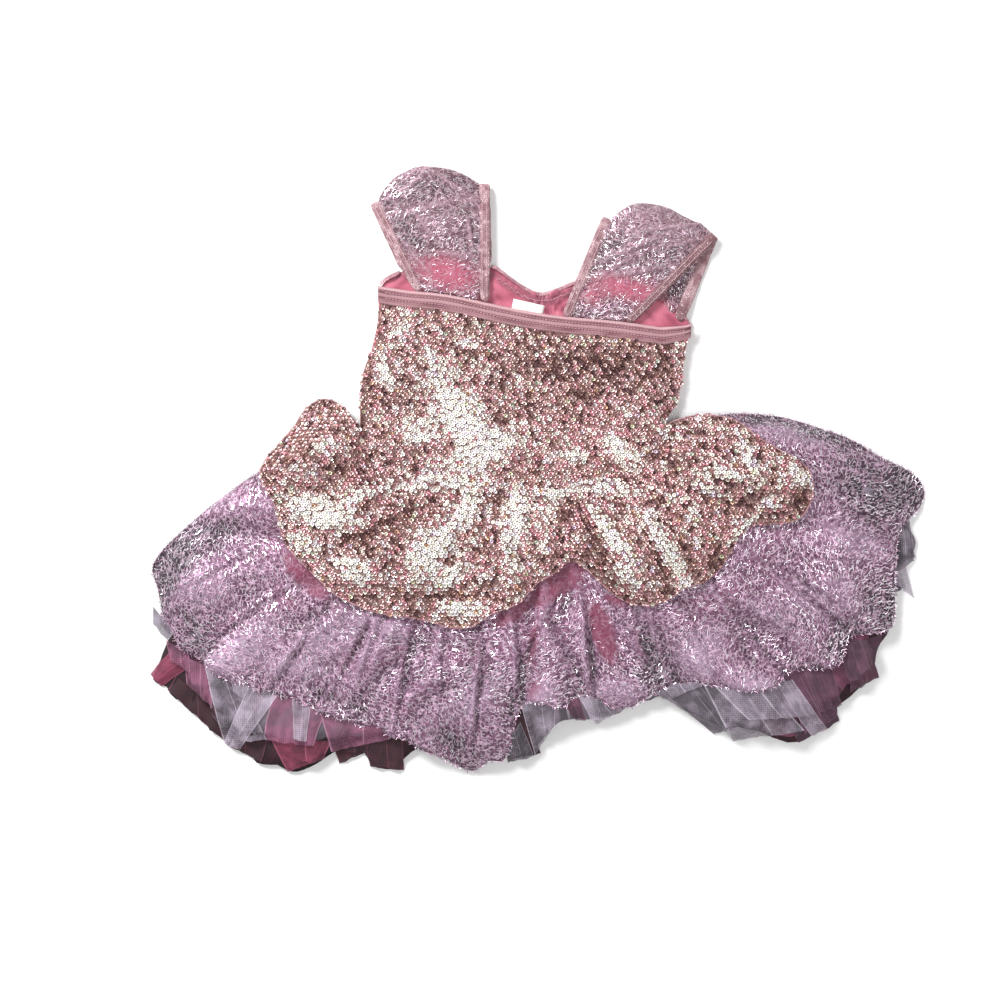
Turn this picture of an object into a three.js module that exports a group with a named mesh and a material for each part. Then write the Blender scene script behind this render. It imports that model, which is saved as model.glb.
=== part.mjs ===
// A child's ballet costume, laid flat on its front so that its back faces up: a sequinned bodice with two
// wide gathered net straps, a sequinned peplum, and a tutu of glitter net over three layers of tulle.
// Millimetres. +Z is up from the surface, +Y runs from the hem to the straps, +X is to the right from above.
// Angles are in degrees, anticlockwise from +X about the middle of the waist, and reach is measured from there.

import * as THREE from "three";

// Driving dimensions

const wall = { sequins: 1.6, net: 1, tulle: 1, lining: 1, elastic: 3, trim: 2, label: 1 };
const seamGap = 0.3;
const layGap = 0.55;

// The waist seam as it lies: the lower half of an ellipse.
const waist = { x: -1.2, y: 10, halfWidth: 117, drop: 50, leftDeg: 180, rightDeg: 360 };

// How a skirt layer stands off the one below it, and how it sinks past the edges of what carries it.
const drape = { nearSeam: [0, 12, 30], rise: 70, sagFrom: 95, sagOver: 130, sagShare: 0.5, overEdge: 4, sinkOver: 24 };

const bodice = {
  bandHeight: 13,
  bandUnderside: 5.8,
  backUnderside: 5.8,
  sideUnderside: 3.6,
  liningAboveWaist: 20,
  rows: 8,
};

const strap = { trimWidth: 7, edgeGap: 0.8, columns: 10, gathers: 5, gatherDepth: 0.9, endGap: 0.6 };

const label = { width: 25, height: 10, x: 13.6, y: 107, tiltDeg: -11, underside: 4 };

// Outlines of the bodice, from above

const bandTopEdge = [
  { x: -105, y: 124.5 },
  { x: -96, y: 121.5 },
  { x: -56, y: 118.5 },
  { x: -24, y: 112 },
  { x: 8, y: 105 },
  { x: 40, y: 100 },
  { x: 72, y: 97.5 },
  { x: 104, y: 93.5 },
  { x: 128, y: 90 },
  { x: 139, y: 90 },
  { x: 145, y: 94 },
];

const frontTopEdge = [
  { x: -105, y: 125.5 },
  { x: -102, y: 129.4 },
  { x: -87, y: 137.2 },
  { x: -79, y: 141 },
  { x: -50, y: 143.5 },
  { x: -14, y: 142 },
  { x: 2, y: 131.5 },
  { x: 16, y: 122.5 },
  { x: 26, y: 119.2 },
  { x: 40, y: 123.5 },
  { x: 55, y: 129 },
  { x: 92, y: 121 },
  { x: 120, y: 112 },
  { x: 141, y: 101 },
  { x: 145.5, y: 95 },
];

const leftSide = [
  { y: 125, x: -105 },
  { y: 92, x: -103.5 },
  { y: 80, x: -105 },
  { y: 68, x: -112 },
  { y: 56, x: -116.5 },
  { y: 40, x: -118.2 },
  { y: 10, x: -118.2 },
];

const rightSide = [
  { y: 94, x: 145.5 },
  { y: 84, x: 143.5 },
  { y: 72, x: 139.5 },
  { y: 56, x: 138.5 },
  { y: 40, x: 136 },
  { y: 24, x: 130.5 },
];

// Past the waist seam's right end the bodice's lower edge runs up to its side.
const besideNotch = { share: 0.96, x: 130.5, y: 24 };

// Hems of the two outer layers, from above: one row for each crest or notch of a fold

const peplumHem = [
  { deg: 167.4, reach: 156 },
  { deg: 171, reach: 166 },
  { deg: 176, reach: 171.5 },
  { deg: 184, reach: 194 },
  { deg: 187.5, reach: 201 },
  { deg: 192.5, reach: 194 },
  { deg: 196, reach: 190 },
  { deg: 203, reach: 196 },
  { deg: 209, reach: 191 },
  { deg: 216, reach: 185 },
  { deg: 222, reach: 183 },
  { deg: 227.5, reach: 176 },
  { deg: 233, reach: 170.5 },
  { deg: 239, reach: 161 },
  { deg: 246, reach: 154.5 },
  { deg: 252, reach: 155.5 },
  { deg: 259, reach: 150.5 },
  { deg: 263, reach: 137 },
  { deg: 270, reach: 131 },
  { deg: 274.5, reach: 127 },
  { deg: 280.5, reach: 113.5 },
  { deg: 289.5, reach: 110 },
  { deg: 295, reach: 104.5 },
  { deg: 301, reach: 109 },
  { deg: 303.5, reach: 148 },
  { deg: 308.5, reach: 168 },
  { deg: 315.5, reach: 178 },
  { deg: 320, reach: 178 },
  { deg: 324, reach: 191.5 },
  { deg: 331, reach: 196 },
  { deg: 338, reach: 195 },
  { deg: 342.2, reach: 205 },
  { deg: 343.8, reach: 240 },
  { deg: 350, reach: 244 },
  { deg: 354.4, reach: 240.5 },
  { deg: 356.8, reach: 226 },
  { deg: 359.8, reach: 200 },
  { deg: 365, reach: 183 },
];

const netHem = [
  { deg: 198.2, reach: 301 },
  { deg: 200.6, reach: 306 },
  { deg: 204, reach: 305.5 },
  { deg: 209, reach: 311 },
  { deg: 212.5, reach: 310 },
  { deg: 217, reach: 296.5 },
  { deg: 219, reach: 299 },
  { deg: 224, reach: 282 },
  { deg: 228.7, reach: 269 },
  { deg: 232, reach: 264.5 },
  { deg: 236.7, reach: 262 },
  { deg: 240, reach: 255 },
  { deg: 241.7, reach: 257.5 },
  { deg: 245, reach: 248 },
  { deg: 247.5, reach: 253 },
  { deg: 251, reach: 251.5 },
  { deg: 256, reach: 257 },
  { deg: 262, reach: 264 },
  { deg: 264.6, reach: 265 },
  { deg: 266, reach: 252 },
  { deg: 268.8, reach: 258 },
  { deg: 270, reach: 250 },
  { deg: 272, reach: 206 },
  { deg: 276, reach: 206 },
  { deg: 280.5, reach: 220 },
  { deg: 286, reach: 205 },
  { deg: 292.6, reach: 233 },
  { deg: 297, reach: 233 },
  { deg: 303, reach: 231 },
  { deg: 306, reach: 235 },
  { deg: 310, reach: 252 },
  { deg: 315.5, reach: 288 },
  { deg: 319, reach: 286 },
  { deg: 322.5, reach: 293 },
  { deg: 325.5, reach: 322 },
  { deg: 328, reach: 316 },
  { deg: 330.5, reach: 308 },
  { deg: 333, reach: 337 },
  { deg: 334.7, reach: 341 },
  { deg: 338, reach: 335 },
  { deg: 342.4, reach: 321 },
  { deg: 346.5, reach: 318.5 },
  { deg: 350, reach: 329 },
  { deg: 352.6, reach: 337 },
  { deg: 354.6, reach: 334 },
  { deg: 356.2, reach: 318 },
  { deg: 357.6, reach: 296 },
  { deg: 359.5, reach: 284 },
];

// Hems of the tulle layers, which show past the net in places.
const tulleHems = {
  white_tulle_front: [
    { deg: 200, reach: 272 }, { deg: 204.5, reach: 300 }, { deg: 206.3, reach: 317 }, { deg: 208, reach: 317 },
    { deg: 210.5, reach: 308 }, { deg: 218, reach: 296 }, { deg: 236, reach: 268 }, { deg: 252, reach: 242 },
    { deg: 270, reach: 240 }, { deg: 286, reach: 212 }, { deg: 300, reach: 225 }, { deg: 310, reach: 290 },
    { deg: 318, reach: 305 }, { deg: 328, reach: 305 }, { deg: 337.5, reach: 310 }, { deg: 339.3, reach: 343 },
    { deg: 341, reach: 326 }, { deg: 343, reach: 333 }, { deg: 345, reach: 337 }, { deg: 347.5, reach: 331 },
    { deg: 350, reach: 310 }, { deg: 355, reach: 280 },
  ],
  pink_tulle_front: [
    { deg: 200, reach: 266 }, { deg: 214, reach: 305 }, { deg: 226, reach: 318 }, { deg: 236, reach: 300 },
    { deg: 246, reach: 270 }, { deg: 258, reach: 238 }, { deg: 280, reach: 214 }, { deg: 296, reach: 210 },
    { deg: 308, reach: 270 }, { deg: 314, reach: 325 }, { deg: 320, reach: 330 }, { deg: 327, reach: 330 },
    { deg: 336, reach: 322 }, { deg: 345, reach: 305 }, { deg: 355, reach: 280 },
  ],
  rose_tulle_front: [
    { deg: 200, reach: 268 }, { deg: 207, reach: 285 }, { deg: 210.2, reach: 314 }, { deg: 212.7, reach: 341 },
    { deg: 214.5, reach: 343 }, { deg: 218.6, reach: 334 }, { deg: 224, reach: 332 }, { deg: 229, reach: 328 },
    { deg: 232.8, reach: 325 }, { deg: 236, reach: 318 }, { deg: 238.8, reach: 307 }, { deg: 240.4, reach: 289 },
    { deg: 242.2, reach: 272 }, { deg: 244.3, reach: 267 }, { deg: 246.4, reach: 283 }, { deg: 250.8, reach: 286 },
    { deg: 252, reach: 258 }, { deg: 262, reach: 236 }, { deg: 280, reach: 212 }, { deg: 296, reach: 208 },
    { deg: 306, reach: 245 }, { deg: 311.5, reach: 329 }, { deg: 316.4, reach: 341 }, { deg: 319, reach: 344 },
    { deg: 321, reach: 334 }, { deg: 325.5, reach: 344 }, { deg: 327.5, reach: 347 }, { deg: 330, reach: 336 },
    { deg: 334, reach: 342 }, { deg: 337, reach: 320 }, { deg: 345, reach: 300 }, { deg: 355, reach: 278 },
  ],
  rose_tulle_back: [
    { deg: 200, reach: 270 }, { deg: 212, reach: 290 }, { deg: 222, reach: 310 }, { deg: 230, reach: 305 },
    { deg: 236, reach: 308 }, { deg: 239, reach: 300 }, { deg: 242, reach: 264 }, { deg: 246.5, reach: 250 },
    { deg: 252, reach: 240 }, { deg: 265, reach: 235 }, { deg: 280, reach: 215 }, { deg: 295, reach: 208 },
    { deg: 305, reach: 240 }, { deg: 312, reach: 312 }, { deg: 318, reach: 322 }, { deg: 324, reach: 322 },
    { deg: 328, reach: 330 }, { deg: 333, reach: 322 }, { deg: 342, reach: 305 }, { deg: 355, reach: 280 },
  ],
  pink_tulle_back: [
    { deg: 199.5, reach: 276 }, { deg: 208, reach: 292 }, { deg: 212.6, reach: 313 }, { deg: 216.7, reach: 321 },
    { deg: 220.7, reach: 317 }, { deg: 226, reach: 300 }, { deg: 236, reach: 272 }, { deg: 246, reach: 250 },
    { deg: 260, reach: 238 }, { deg: 275, reach: 228 }, { deg: 290, reach: 215 }, { deg: 300, reach: 228 },
    { deg: 308, reach: 285 }, { deg: 310, reach: 300 }, { deg: 312, reach: 318 }, { deg: 315, reach: 330 },
    { deg: 319, reach: 333 }, { deg: 321, reach: 327 }, { deg: 325.5, reach: 338 }, { deg: 327.5, reach: 344 },
    { deg: 329.5, reach: 334 }, { deg: 335, reach: 318 }, { deg: 345, reach: 305 }, { deg: 355.5, reach: 285 },
  ],
  white_tulle_back: [
    { deg: 199, reach: 280 }, { deg: 205, reach: 292 }, { deg: 212, reach: 290 }, { deg: 217, reach: 303 },
    { deg: 219.5, reach: 312 }, { deg: 222, reach: 320 }, { deg: 225.7, reach: 324 }, { deg: 231, reach: 302 },
    { deg: 237, reach: 287 }, { deg: 243, reach: 262 }, { deg: 250, reach: 244 }, { deg: 262, reach: 240 },
    { deg: 269, reach: 246 }, { deg: 271, reach: 251 }, { deg: 275, reach: 252 }, { deg: 278, reach: 233 },
    { deg: 282, reach: 220 }, { deg: 286.9, reach: 238 }, { deg: 291, reach: 232 }, { deg: 295.5, reach: 233 },
    { deg: 300, reach: 233 }, { deg: 303, reach: 252 }, { deg: 305.3, reach: 279 }, { deg: 308, reach: 290 },
    { deg: 311, reach: 305 }, { deg: 316, reach: 300 }, { deg: 320, reach: 290 }, { deg: 330, reach: 296 },
    { deg: 341, reach: 300 }, { deg: 350, reach: 300 }, { deg: 356, reach: 285 },
  ],
};

// The two hidden layers of the front follow this round, each at its own share of it, with its own ruffles.
const skirtRound = [
  { deg: 160, reach: 190 },
  { deg: 180, reach: 230 },
  { deg: 199, reach: 290 },
  { deg: 212, reach: 305 },
  { deg: 226, reach: 290 },
  { deg: 241, reach: 258 },
  { deg: 262, reach: 247 },
  { deg: 272, reach: 232 },
  { deg: 286, reach: 210 },
  { deg: 296, reach: 215 },
  { deg: 306, reach: 255 },
  { deg: 318, reach: 300 },
  { deg: 332, reach: 318 },
  { deg: 352, reach: 300 },
  { deg: 368, reach: 240 },
];

// Skirt layers from the surface up: the fronts lie underneath, the backs on top of them.
// loft is the air under a layer at its fullest, and bow lifts the side folds above a straight line. Past the
// rows near the seam, steps more follow to the hem, and stepDeg is the widest a column may be.
const skirtLayers = [
  {
    name: "peplum_front", cloth: "sequins", share: 0.7, from: 173, to: 363, loft: 0,
    ruffles: { count: 8, depth: 4 }, bow: { left: 0, right: 0 }, columns: 24, steps: 2,
  },
  {
    name: "net_front", cloth: "net", share: 0.88, from: 200, to: 355, loft: 0.6,
    ruffles: { count: 12, depth: 7 }, bow: { left: 4, right: 6 }, columns: 32, steps: 3,
  },
  tulleLayer("white_tulle_front", "white", { loft: 0.8, bow: { left: 5, right: 7 }, steps: 3, stepDeg: 9 }),
  tulleLayer("pink_tulle_front", "pink", { loft: 0.8, bow: { left: 6, right: 8 }, steps: 3, stepDeg: 8 }),
  tulleLayer("rose_tulle_front", "rose", { loft: 0.8, bow: { left: 7, right: 9 }, steps: 3, stepDeg: 9 }),
  tulleLayer("rose_tulle_back", "rose", { loft: 3.2, bow: { left: 8, right: 11 }, steps: 4, stepDeg: 8 }),
  tulleLayer("pink_tulle_back", "pink", { loft: 2.8, bow: { left: 9, right: 13 }, steps: 4, stepDeg: 8 }),
  tulleLayer("white_tulle_back", "white", { loft: 2.8, bow: { left: 10, right: 15 }, steps: 4, stepDeg: 9 }),
  {
    name: "net_back", cloth: "net", hem: netHem, loft: 2.6, bow: { left: 17, right: 19 }, steps: 5, stepDeg: 6,
  },
  {
    name: "peplum_back", cloth: "sequins", hem: peplumHem, loft: 2.8, bow: { left: 8, right: 8 }, steps: 4,
    stepDeg: 7,
  },
];

function tulleLayer(name, cloth, rest) {
  return { name, cloth, hem: tulleHems[name], ...rest };
}

// Side view of a strap's loop: from the back band over the shoulder fold to the front. Along is the share of
// the way to the fold, and the puff at the middle of the strap stands higher than its bound edges.
const strapLoop = [
  { along: 0, height: 7.2, puff: 0 },
  { along: 0.22, height: 6.9, puff: 1.5 },
  { along: 0.5, height: 6.6, puff: 3.8 },
  { along: 0.76, height: 6.4, puff: 5 },
  { along: 0.92, height: 6.1, puff: 4.4 },
  { along: 0.985, height: 5.4, puff: 3 },
  { along: 1, height: 3.9, puff: 1.5 },
  { along: 0.985, height: 2.4, puff: 0.6 },
  { along: 0.92, height: 1.6, puff: 0.2 },
  { along: 0.76, height: 1.3, puff: 0 },
  { along: 0.5, height: 1.3, puff: 0 },
  { along: 0.22, height: 1.3, puff: 0 },
  { along: 0, height: 1.3, puff: 0 },
];

// Each strap from above: where its ends meet the top edges of the back and the front, and the round of its
// shoulder fold. Outer is the armhole side.
const strapShapes = {
  left: {
    back: { from: -68, to: -23.8 },
    front: { from: -79, to: -22 },
    fold: [
      { x: -103, y: 192 },
      { x: -100, y: 201 },
      { x: -91, y: 210 },
      { x: -76, y: 218 },
      { x: -62, y: 219 },
      { x: -46, y: 217 },
      { x: -34, y: 211 },
      { x: -24, y: 205 },
    ],
    outer: "from",
  },
  right: {
    back: { from: 50, to: 91 },
    front: { from: 62, to: 134 },
    fold: [
      { x: 82, y: 176 },
      { x: 88, y: 182 },
      { x: 94, y: 186 },
      { x: 101, y: 189 },
      { x: 108, y: 190 },
      { x: 118, y: 187 },
      { x: 130, y: 183 },
      { x: 142, y: 178 },
      { x: 152, y: 173 },
      { x: 160, y: 167 },
    ],
    outer: "to",
  },
};

// Materials

function cloth(colour, roughness, metalness = 0) {
  return new THREE.MeshStandardMaterial({ color: colour, roughness, metalness, side: THREE.DoubleSide });
}

const materials = {
  sequins: cloth(0xcf9a92, 0.3, 0.8),
  net: cloth(0xc99cba, 0.6),
  white: cloth(0x9b919b, 0.8),
  pink: cloth(0xa8607a, 0.8),
  rose: cloth(0x5e2c3d, 0.8),
  lining: cloth(0xe8798f, 0.7),
  elastic: cloth(0xd9a0a8, 0.6),
  trim: cloth(0xd8a9ae, 0.45, 0.3),
  label: cloth(0xf2f0ee, 0.6),
};

const clothWall = { sequins: wall.sequins, net: wall.net, white: wall.tulle, pink: wall.tulle, rose: wall.tulle };

// Small sums

const toRadians = THREE.MathUtils.degToRad;
const smooth = (value, low, high) => THREE.MathUtils.smoothstep(value, low, high);
const mix = THREE.MathUtils.lerp;

// A curve through the rows of a table, level at each crest and notch, so that it never overshoots.
function tableCurve(rows, input, output) {
  const at = rows.map((row) => row[input]);
  const value = rows.map((row) => row[output]);
  const slopes = at.slice(1).map((end, i) => (value[i + 1] - value[i]) / (end - at[i]));
  const tangents = at.map((_, i) => {
    const before = slopes[i - 1] ?? slopes[0];
    const after = slopes[i] ?? slopes.at(-1);
    return before * after > 0 ? (2 * before * after) / (before + after) : 0;
  });
  const rising = at.at(-1) > at[0];
  return (x) => {
    let i = at.findIndex((end) => (rising ? x < end : x > end)) - 1;
    if (i === -2) return value.at(-1);
    if (i < 0) return value[0];
    const span = at[i + 1] - at[i];
    const t = (x - at[i]) / span;
    const ease = t * t * (3 - 2 * t);
    const bend = t * (1 - t) * ((1 - t) * tangents[i] - t * tangents[i + 1]) * span;
    return mix(value[i], value[i + 1], ease) + bend;
  };
}

function polar(deg, reach) {
  return { x: reach * Math.cos(toRadians(deg)), y: reach * Math.sin(toRadians(deg)) };
}

function mixPoint(a, b, share) {
  return { x: mix(a.x, b.x, share), y: mix(a.y, b.y, share) };
}

// The angle of a place about the middle of the waist, from the left side's -270 round to the right side's 90.
function bearing(x, y) {
  const deg = THREE.MathUtils.radToDeg(Math.atan2(y, x));
  return deg < 90 ? deg + 360 : deg;
}

// How far a place lies outside an outline, or 0 inside it.
function distanceOutside(outline, x, y) {
  let inside = false;
  let nearest = Infinity;
  outline.forEach((b, i) => {
    const a = outline.at(i - 1);
    if (a.y > y !== b.y > y && x < ((b.x - a.x) * (y - a.y)) / (b.y - a.y) + a.x) inside = !inside;
    const length2 = (b.x - a.x) ** 2 + (b.y - a.y) ** 2 || 1;
    const t = THREE.MathUtils.clamp(((x - a.x) * (b.x - a.x) + (y - a.y) * (b.y - a.y)) / length2, 0, 1);
    nearest = Math.min(nearest, Math.hypot(x - mix(a.x, b.x, t), y - mix(a.y, b.y, t)));
  });
  return inside ? 0 : nearest;
}

// Walls of cloth

// Joins a grid of lower points and a grid of upper points into one closed wall, facing out.
function wallGeometry(lower, upper) {
  const rows = lower.length;
  const perRow = lower[0].length;
  const positions = [...lower.flat(), ...upper.flat()].flatMap((p) => [p.x, p.y, p.z]);
  const low = (i, j) => i * perRow + j;
  const high = (i, j) => rows * perRow + low(i, j);
  const faces = [];
  const quad = (a, b, c, d) => faces.push(a, b, c, a, c, d);
  for (let i = 0; i < rows - 1; i++) {
    for (let j = 0; j < perRow - 1; j++) {
      quad(high(i, j), high(i, j + 1), high(i + 1, j + 1), high(i + 1, j));
      quad(low(i, j), low(i + 1, j), low(i + 1, j + 1), low(i, j + 1));
    }
    quad(low(i, 0), high(i, 0), high(i + 1, 0), low(i + 1, 0));
    quad(low(i, perRow - 1), low(i + 1, perRow - 1), high(i + 1, perRow - 1), high(i, perRow - 1));
  }
  for (let j = 0; j < perRow - 1; j++) {
    quad(low(0, j), low(0, j + 1), high(0, j + 1), high(0, j));
    quad(low(rows - 1, j), high(rows - 1, j), high(rows - 1, j + 1), low(rows - 1, j + 1));
  }
  let volume = 0;
  const corner = (k) => new THREE.Vector3().fromArray(positions, faces[k] * 3);
  for (let k = 0; k < faces.length; k += 3) volume += corner(k).dot(corner(k + 1).cross(corner(k + 2)));
  if (volume < 0) faces.reverse();
  const geometry = new THREE.BufferGeometry();
  geometry.setAttribute("position", new THREE.Float32BufferAttribute(positions, 3));
  geometry.setIndex(faces);
  geometry.computeVertexNormals();
  return geometry;
}

// Corners of a laid wall that carry a place at a share u along its cell's rows and v across them.
function cellWeights(i, j, u, v) {
  const near = [i, j, 1 - Math.max(u, v)];
  const far = [i + 1, j + 1, Math.min(u, v)];
  return [near, far, u > v ? [i + 1, j, u - v] : [i, j + 1, v - u]];
}

function weighted(grid, corners) {
  return corners.reduce((sum, [i, j, weight]) => sum + weight * grid[i][j], 0);
}

// Places spread evenly over a wall, seen from above.
function sampleWall(places, perCell) {
  const xs = places.map((row) => row.map((p) => p.x));
  const ys = places.map((row) => row.map((p) => p.y));
  const samples = [];
  for (let i = 0; i < places.length - 1; i++) {
    for (let j = 0; j < places[0].length - 1; j++) {
      for (let k = 0; k < (perCell + 1) ** 2; k++) {
        const corners = cellWeights(i, j, (k % (perCell + 1)) / perCell, Math.floor(k / (perCell + 1)) / perCell);
        samples.push({ x: weighted(xs, corners), y: weighted(ys, corners) });
      }
    }
  }
  return samples;
}

// Cells of a wall as pairs of triangles, each with the box round it.
function trianglesOf(places) {
  const triangles = [];
  for (let i = 0; i < places.length - 1; i++) {
    for (let j = 0; j < places[0].length - 1; j++) {
      for (const third of [[i + 1, j], [i, j + 1]]) {
        const corners = [[i, j], third, [i + 1, j + 1]];
        const [a, b, c] = corners.map(([row, column]) => places[row][column]);
        triangles.push({
          corners, a, b, c,
          left: Math.min(a.x, b.x, c.x), right: Math.max(a.x, b.x, c.x),
          low: Math.min(a.y, b.y, c.y), high: Math.max(a.y, b.y, c.y),
          area: (b.x - a.x) * (c.y - a.y) - (c.x - a.x) * (b.y - a.y),
        });
      }
    }
  }
  return triangles;
}

// The corners that carry a place, with their weights, or nothing where the wall doesn't reach.
function cornersAt(triangles, x, y) {
  for (const { corners, a, b, c, left, right, low, high, area } of triangles) {
    if (x < left || x > right || y < low || y > high || area === 0) continue;
    const second = ((x - a.x) * (c.y - a.y) - (c.x - a.x) * (y - a.y)) / area;
    const third = ((b.x - a.x) * (y - a.y) - (x - a.x) * (b.y - a.y)) / area;
    const first = 1 - second - third;
    if (Math.min(first, second, third) < -1e-6) continue;
    return [[...corners[0], first], [...corners[1], second], [...corners[2], third]];
  }
  return undefined;
}

const laid = [];

// Height of the top of a laid wall at a place, with room for the next one, or nothing beside it.
function topAt(below, x, y) {
  const under = cornersAt(below.triangles, x, y);
  return under && weighted(below.heights, under) + below.thickness + layGap;
}

// Lays a wall on those below it: the heights wanted for its underside rise until no facet sinks into them.
// The first edge of each row, sewn to the piece beside it, rises last.
function lay(places, underside, thickness) {
  const heights = places.map((row, i) =>
    row.map((p, j) => Math.max(underside(p, i, j), ...laid.map((below) => topAt(below, p.x, p.y) ?? 0))),
  );
  const triangles = trianglesOf(places);
  const samples = sampleWall(places, 5);
  const supports = [];
  for (const below of laid) {
    for (const { x, y } of [...samples, ...below.samples]) {
      const height = topAt(below, x, y);
      const over = height && cornersAt(triangles, x, y);
      if (over) supports.push({ over, height });
    }
  }
  for (const firstFree of [1, 0]) {
    for (let pass = 0; pass < 150; pass++) {
      let worst = 0;
      for (const { over, height } of supports) {
        const short = height - weighted(heights, over);
        if (short <= 0) continue;
        const free = over.filter(([, j]) => j >= firstFree);
        const spread = free.reduce((sum, [, , weight]) => sum + weight ** 2, 0);
        if (spread < 0.1) continue;
        worst = Math.max(worst, short);
        for (const [i, j, weight] of free) heights[i][j] += (short * weight) / spread;
      }
      if (worst < 0.02) break;
    }
  }
  laid.push({ places, heights, thickness, triangles, samples });
  const raise = (extra) =>
    places.map((row, i) => row.map((p, j) => new THREE.Vector3(p.x, p.y, heights[i][j] + extra)));
  return wallGeometry(raise(0), raise(thickness));
}

// A wall that bends over: a grid of points on its middle, with half the thickness on each side of them.
function bendingWall(middle, thickness) {
  const offset = (side) =>
    middle.map((row, i) =>
      row.map((point, j) => {
        const down = (middle[i + 1] ?? row)[j].clone().sub((middle[i - 1] ?? row)[j]);
        const over = (row[j + 1] ?? point).clone().sub(row[j - 1] ?? point);
        return point.clone().addScaledVector(over.cross(down).normalize(), (side * thickness) / 2);
      }),
    );
  return wallGeometry(offset(-1), offset(1));
}

const costume = new THREE.Group();

function addPiece(name, geometry, material) {
  const mesh = new THREE.Mesh(geometry, material);
  mesh.name = name;
  costume.add(mesh);
  return mesh;
}

// Bodice front

const bandTop = tableCurve(bandTopEdge, "x", "y");
const frontTop = tableCurve(frontTopEdge, "x", "y");
const leftEdge = tableCurve(leftSide, "y", "x");
const rightEdge = tableCurve(rightSide, "y", "x");

// A panel between two curves from left to right, whose ends follow the side edges.
function panelPlaces(columns, rows, topOf, bottomOf) {
  return columns.map((across) => {
    const top = topOf(across);
    const bottom = bottomOf(across);
    return Array.from({ length: rows + 1 }, (_, j) => {
      const y = mix(top.y, bottom.y, j / rows);
      const leftPull = leftEdge(y) - mix(topOf(0).x, bottomOf(0).x, j / rows);
      const rightPull = rightEdge(y) - mix(topOf(1).x, bottomOf(1).x, j / rows);
      const x = mix(top.x, bottom.x, j / rows);
      return { x: x + leftPull * (1 - across) ** 3 + rightPull * across ** 3, y, across, down: j / rows };
    });
  });
}

// Share 0 is the left end of the waist seam and 1 the right end.
function waistSeam(share, inset = 0) {
  const turn = toRadians(mix(waist.leftDeg, waist.rightDeg, share));
  const halfWidth = waist.halfWidth - inset;
  return { x: waist.x + halfWidth * Math.cos(turn), y: waist.y + (waist.drop - inset) * Math.sin(turn) };
}

const evenly = (count) => Array.from({ length: count + 1 }, (_, i) => i / count);
const throughNotch = (shares) => [...shares.map((share) => share * besideNotch.share), 1];
const aboveWaist = (across) => (across < 1 ? waistSeam(across / besideNotch.share, seamGap) : besideNotch);

function frontEdge(across) {
  const x = mix(frontTopEdge[0].x, frontTopEdge.at(-1).x, across);
  return { x, y: frontTop(x) };
}

const frontPlaces = panelPlaces(throughNotch(evenly(24)), 4, frontEdge, aboveWaist);
addPiece("bodice_front", lay(frontPlaces, () => 0, wall.sequins), materials.sequins);

// The lining shows on the inside of the front, drawn into gathers at the middle of the neckline.
const gatherAt = { x: 26, y: 119, deg: 16, spread: 20, depth: 0.8 };
function liningUnderside(p) {
  const away = Math.hypot(p.x - gatherAt.x, p.y - gatherAt.y);
  const ray = (THREE.MathUtils.radToDeg(Math.atan2(p.y - gatherAt.y, p.x - gatherAt.x)) / gatherAt.deg) * Math.PI;
  const fold = gatherAt.depth * (0.5 + 0.5 * Math.cos(ray)) * Math.exp(-away / gatherAt.spread);
  return wall.sequins + seamGap + fold;
}

const trim = { inset: 3.6, overLining: 1.6 };
const liningTop = (across) => ({ x: frontEdge(across).x, y: frontEdge(across).y - trim.inset + trim.overLining });
const liningBottom = (across) => {
  const seam = waistSeam(across);
  return { x: seam.x, y: seam.y + bodice.liningAboveWaist };
};
const liningPlaces = panelPlaces(evenly(24), 5, liningTop, liningBottom);
addPiece("front_lining", lay(liningPlaces, liningUnderside, wall.lining), materials.lining);

// Bindings folded over the front's top edge: the neckline between the straps, and each armhole.
const frontBindings = [
  { name: "neckline_binding", from: -14, to: 54, columns: 14 },
  { name: "armhole_binding_left", from: -103.5, to: -87, columns: 4 },
  { name: "armhole_binding_right", from: 137.5, to: 144.5, columns: 3 },
];
for (const binding of frontBindings) {
  const places = Array.from({ length: binding.columns + 1 }, (_, i) => {
    const x = mix(binding.from, binding.to, i / binding.columns);
    return [frontTop(x), frontTop(x) - trim.inset / 2, frontTop(x) - trim.inset].map((y) => ({ x, y }));
  });
  addPiece(
    binding.name, lay(places, () => wall.sequins + seamGap, wall.trim - 0.4), materials.trim,
  );
}

// Skirt

function pastWaistSeam(x, y) {
  const turn = Math.atan2(y - waist.y, x - waist.x);
  const seam = 1 / Math.hypot(Math.cos(turn) / waist.halfWidth, Math.sin(turn) / waist.drop);
  return Math.max(0, Math.hypot(x - waist.x, y - waist.y) - seam);
}

// Cloth stands up from the seam, is fullest a hand's width away and settles towards the hem.
function fullness(x, y) {
  const past = pastWaistSeam(x, y);
  const settled = drape.sagShare * smooth(past, drape.sagFrom, drape.sagFrom + drape.sagOver);
  return smooth(past, -drape.rise / 3, drape.rise) * smooth(past, 0, drape.rise / 3) * (1 - settled);
}

function reachOf(layer) {
  if (layer.hem) return tableCurve(layer.hem, "deg", "reach");
  const round = tableCurve(skirtRound, "deg", "reach");
  return (deg) => {
    const turn = (deg - layer.from) / (layer.to - layer.from);
    const ruffle = layer.ruffles.depth * Math.cos(2 * Math.PI * layer.ruffles.count * turn);
    return round(deg) * layer.share + ruffle;
  };
}

function columnAngles(layer) {
  if (!layer.hem) {
    const step = (layer.to - layer.from) / layer.columns;
    return Array.from({ length: layer.columns + 1 }, (_, i) => layer.from + i * step);
  }
  return layer.hem.flatMap((row, i) => {
    const next = layer.hem[i + 1];
    if (!next) return [row.deg];
    const parts = Math.ceil((next.deg - row.deg) / layer.stepDeg);
    return Array.from({ length: parts }, (_, part) => mix(row.deg, next.deg, part / parts));
  });
}

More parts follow.
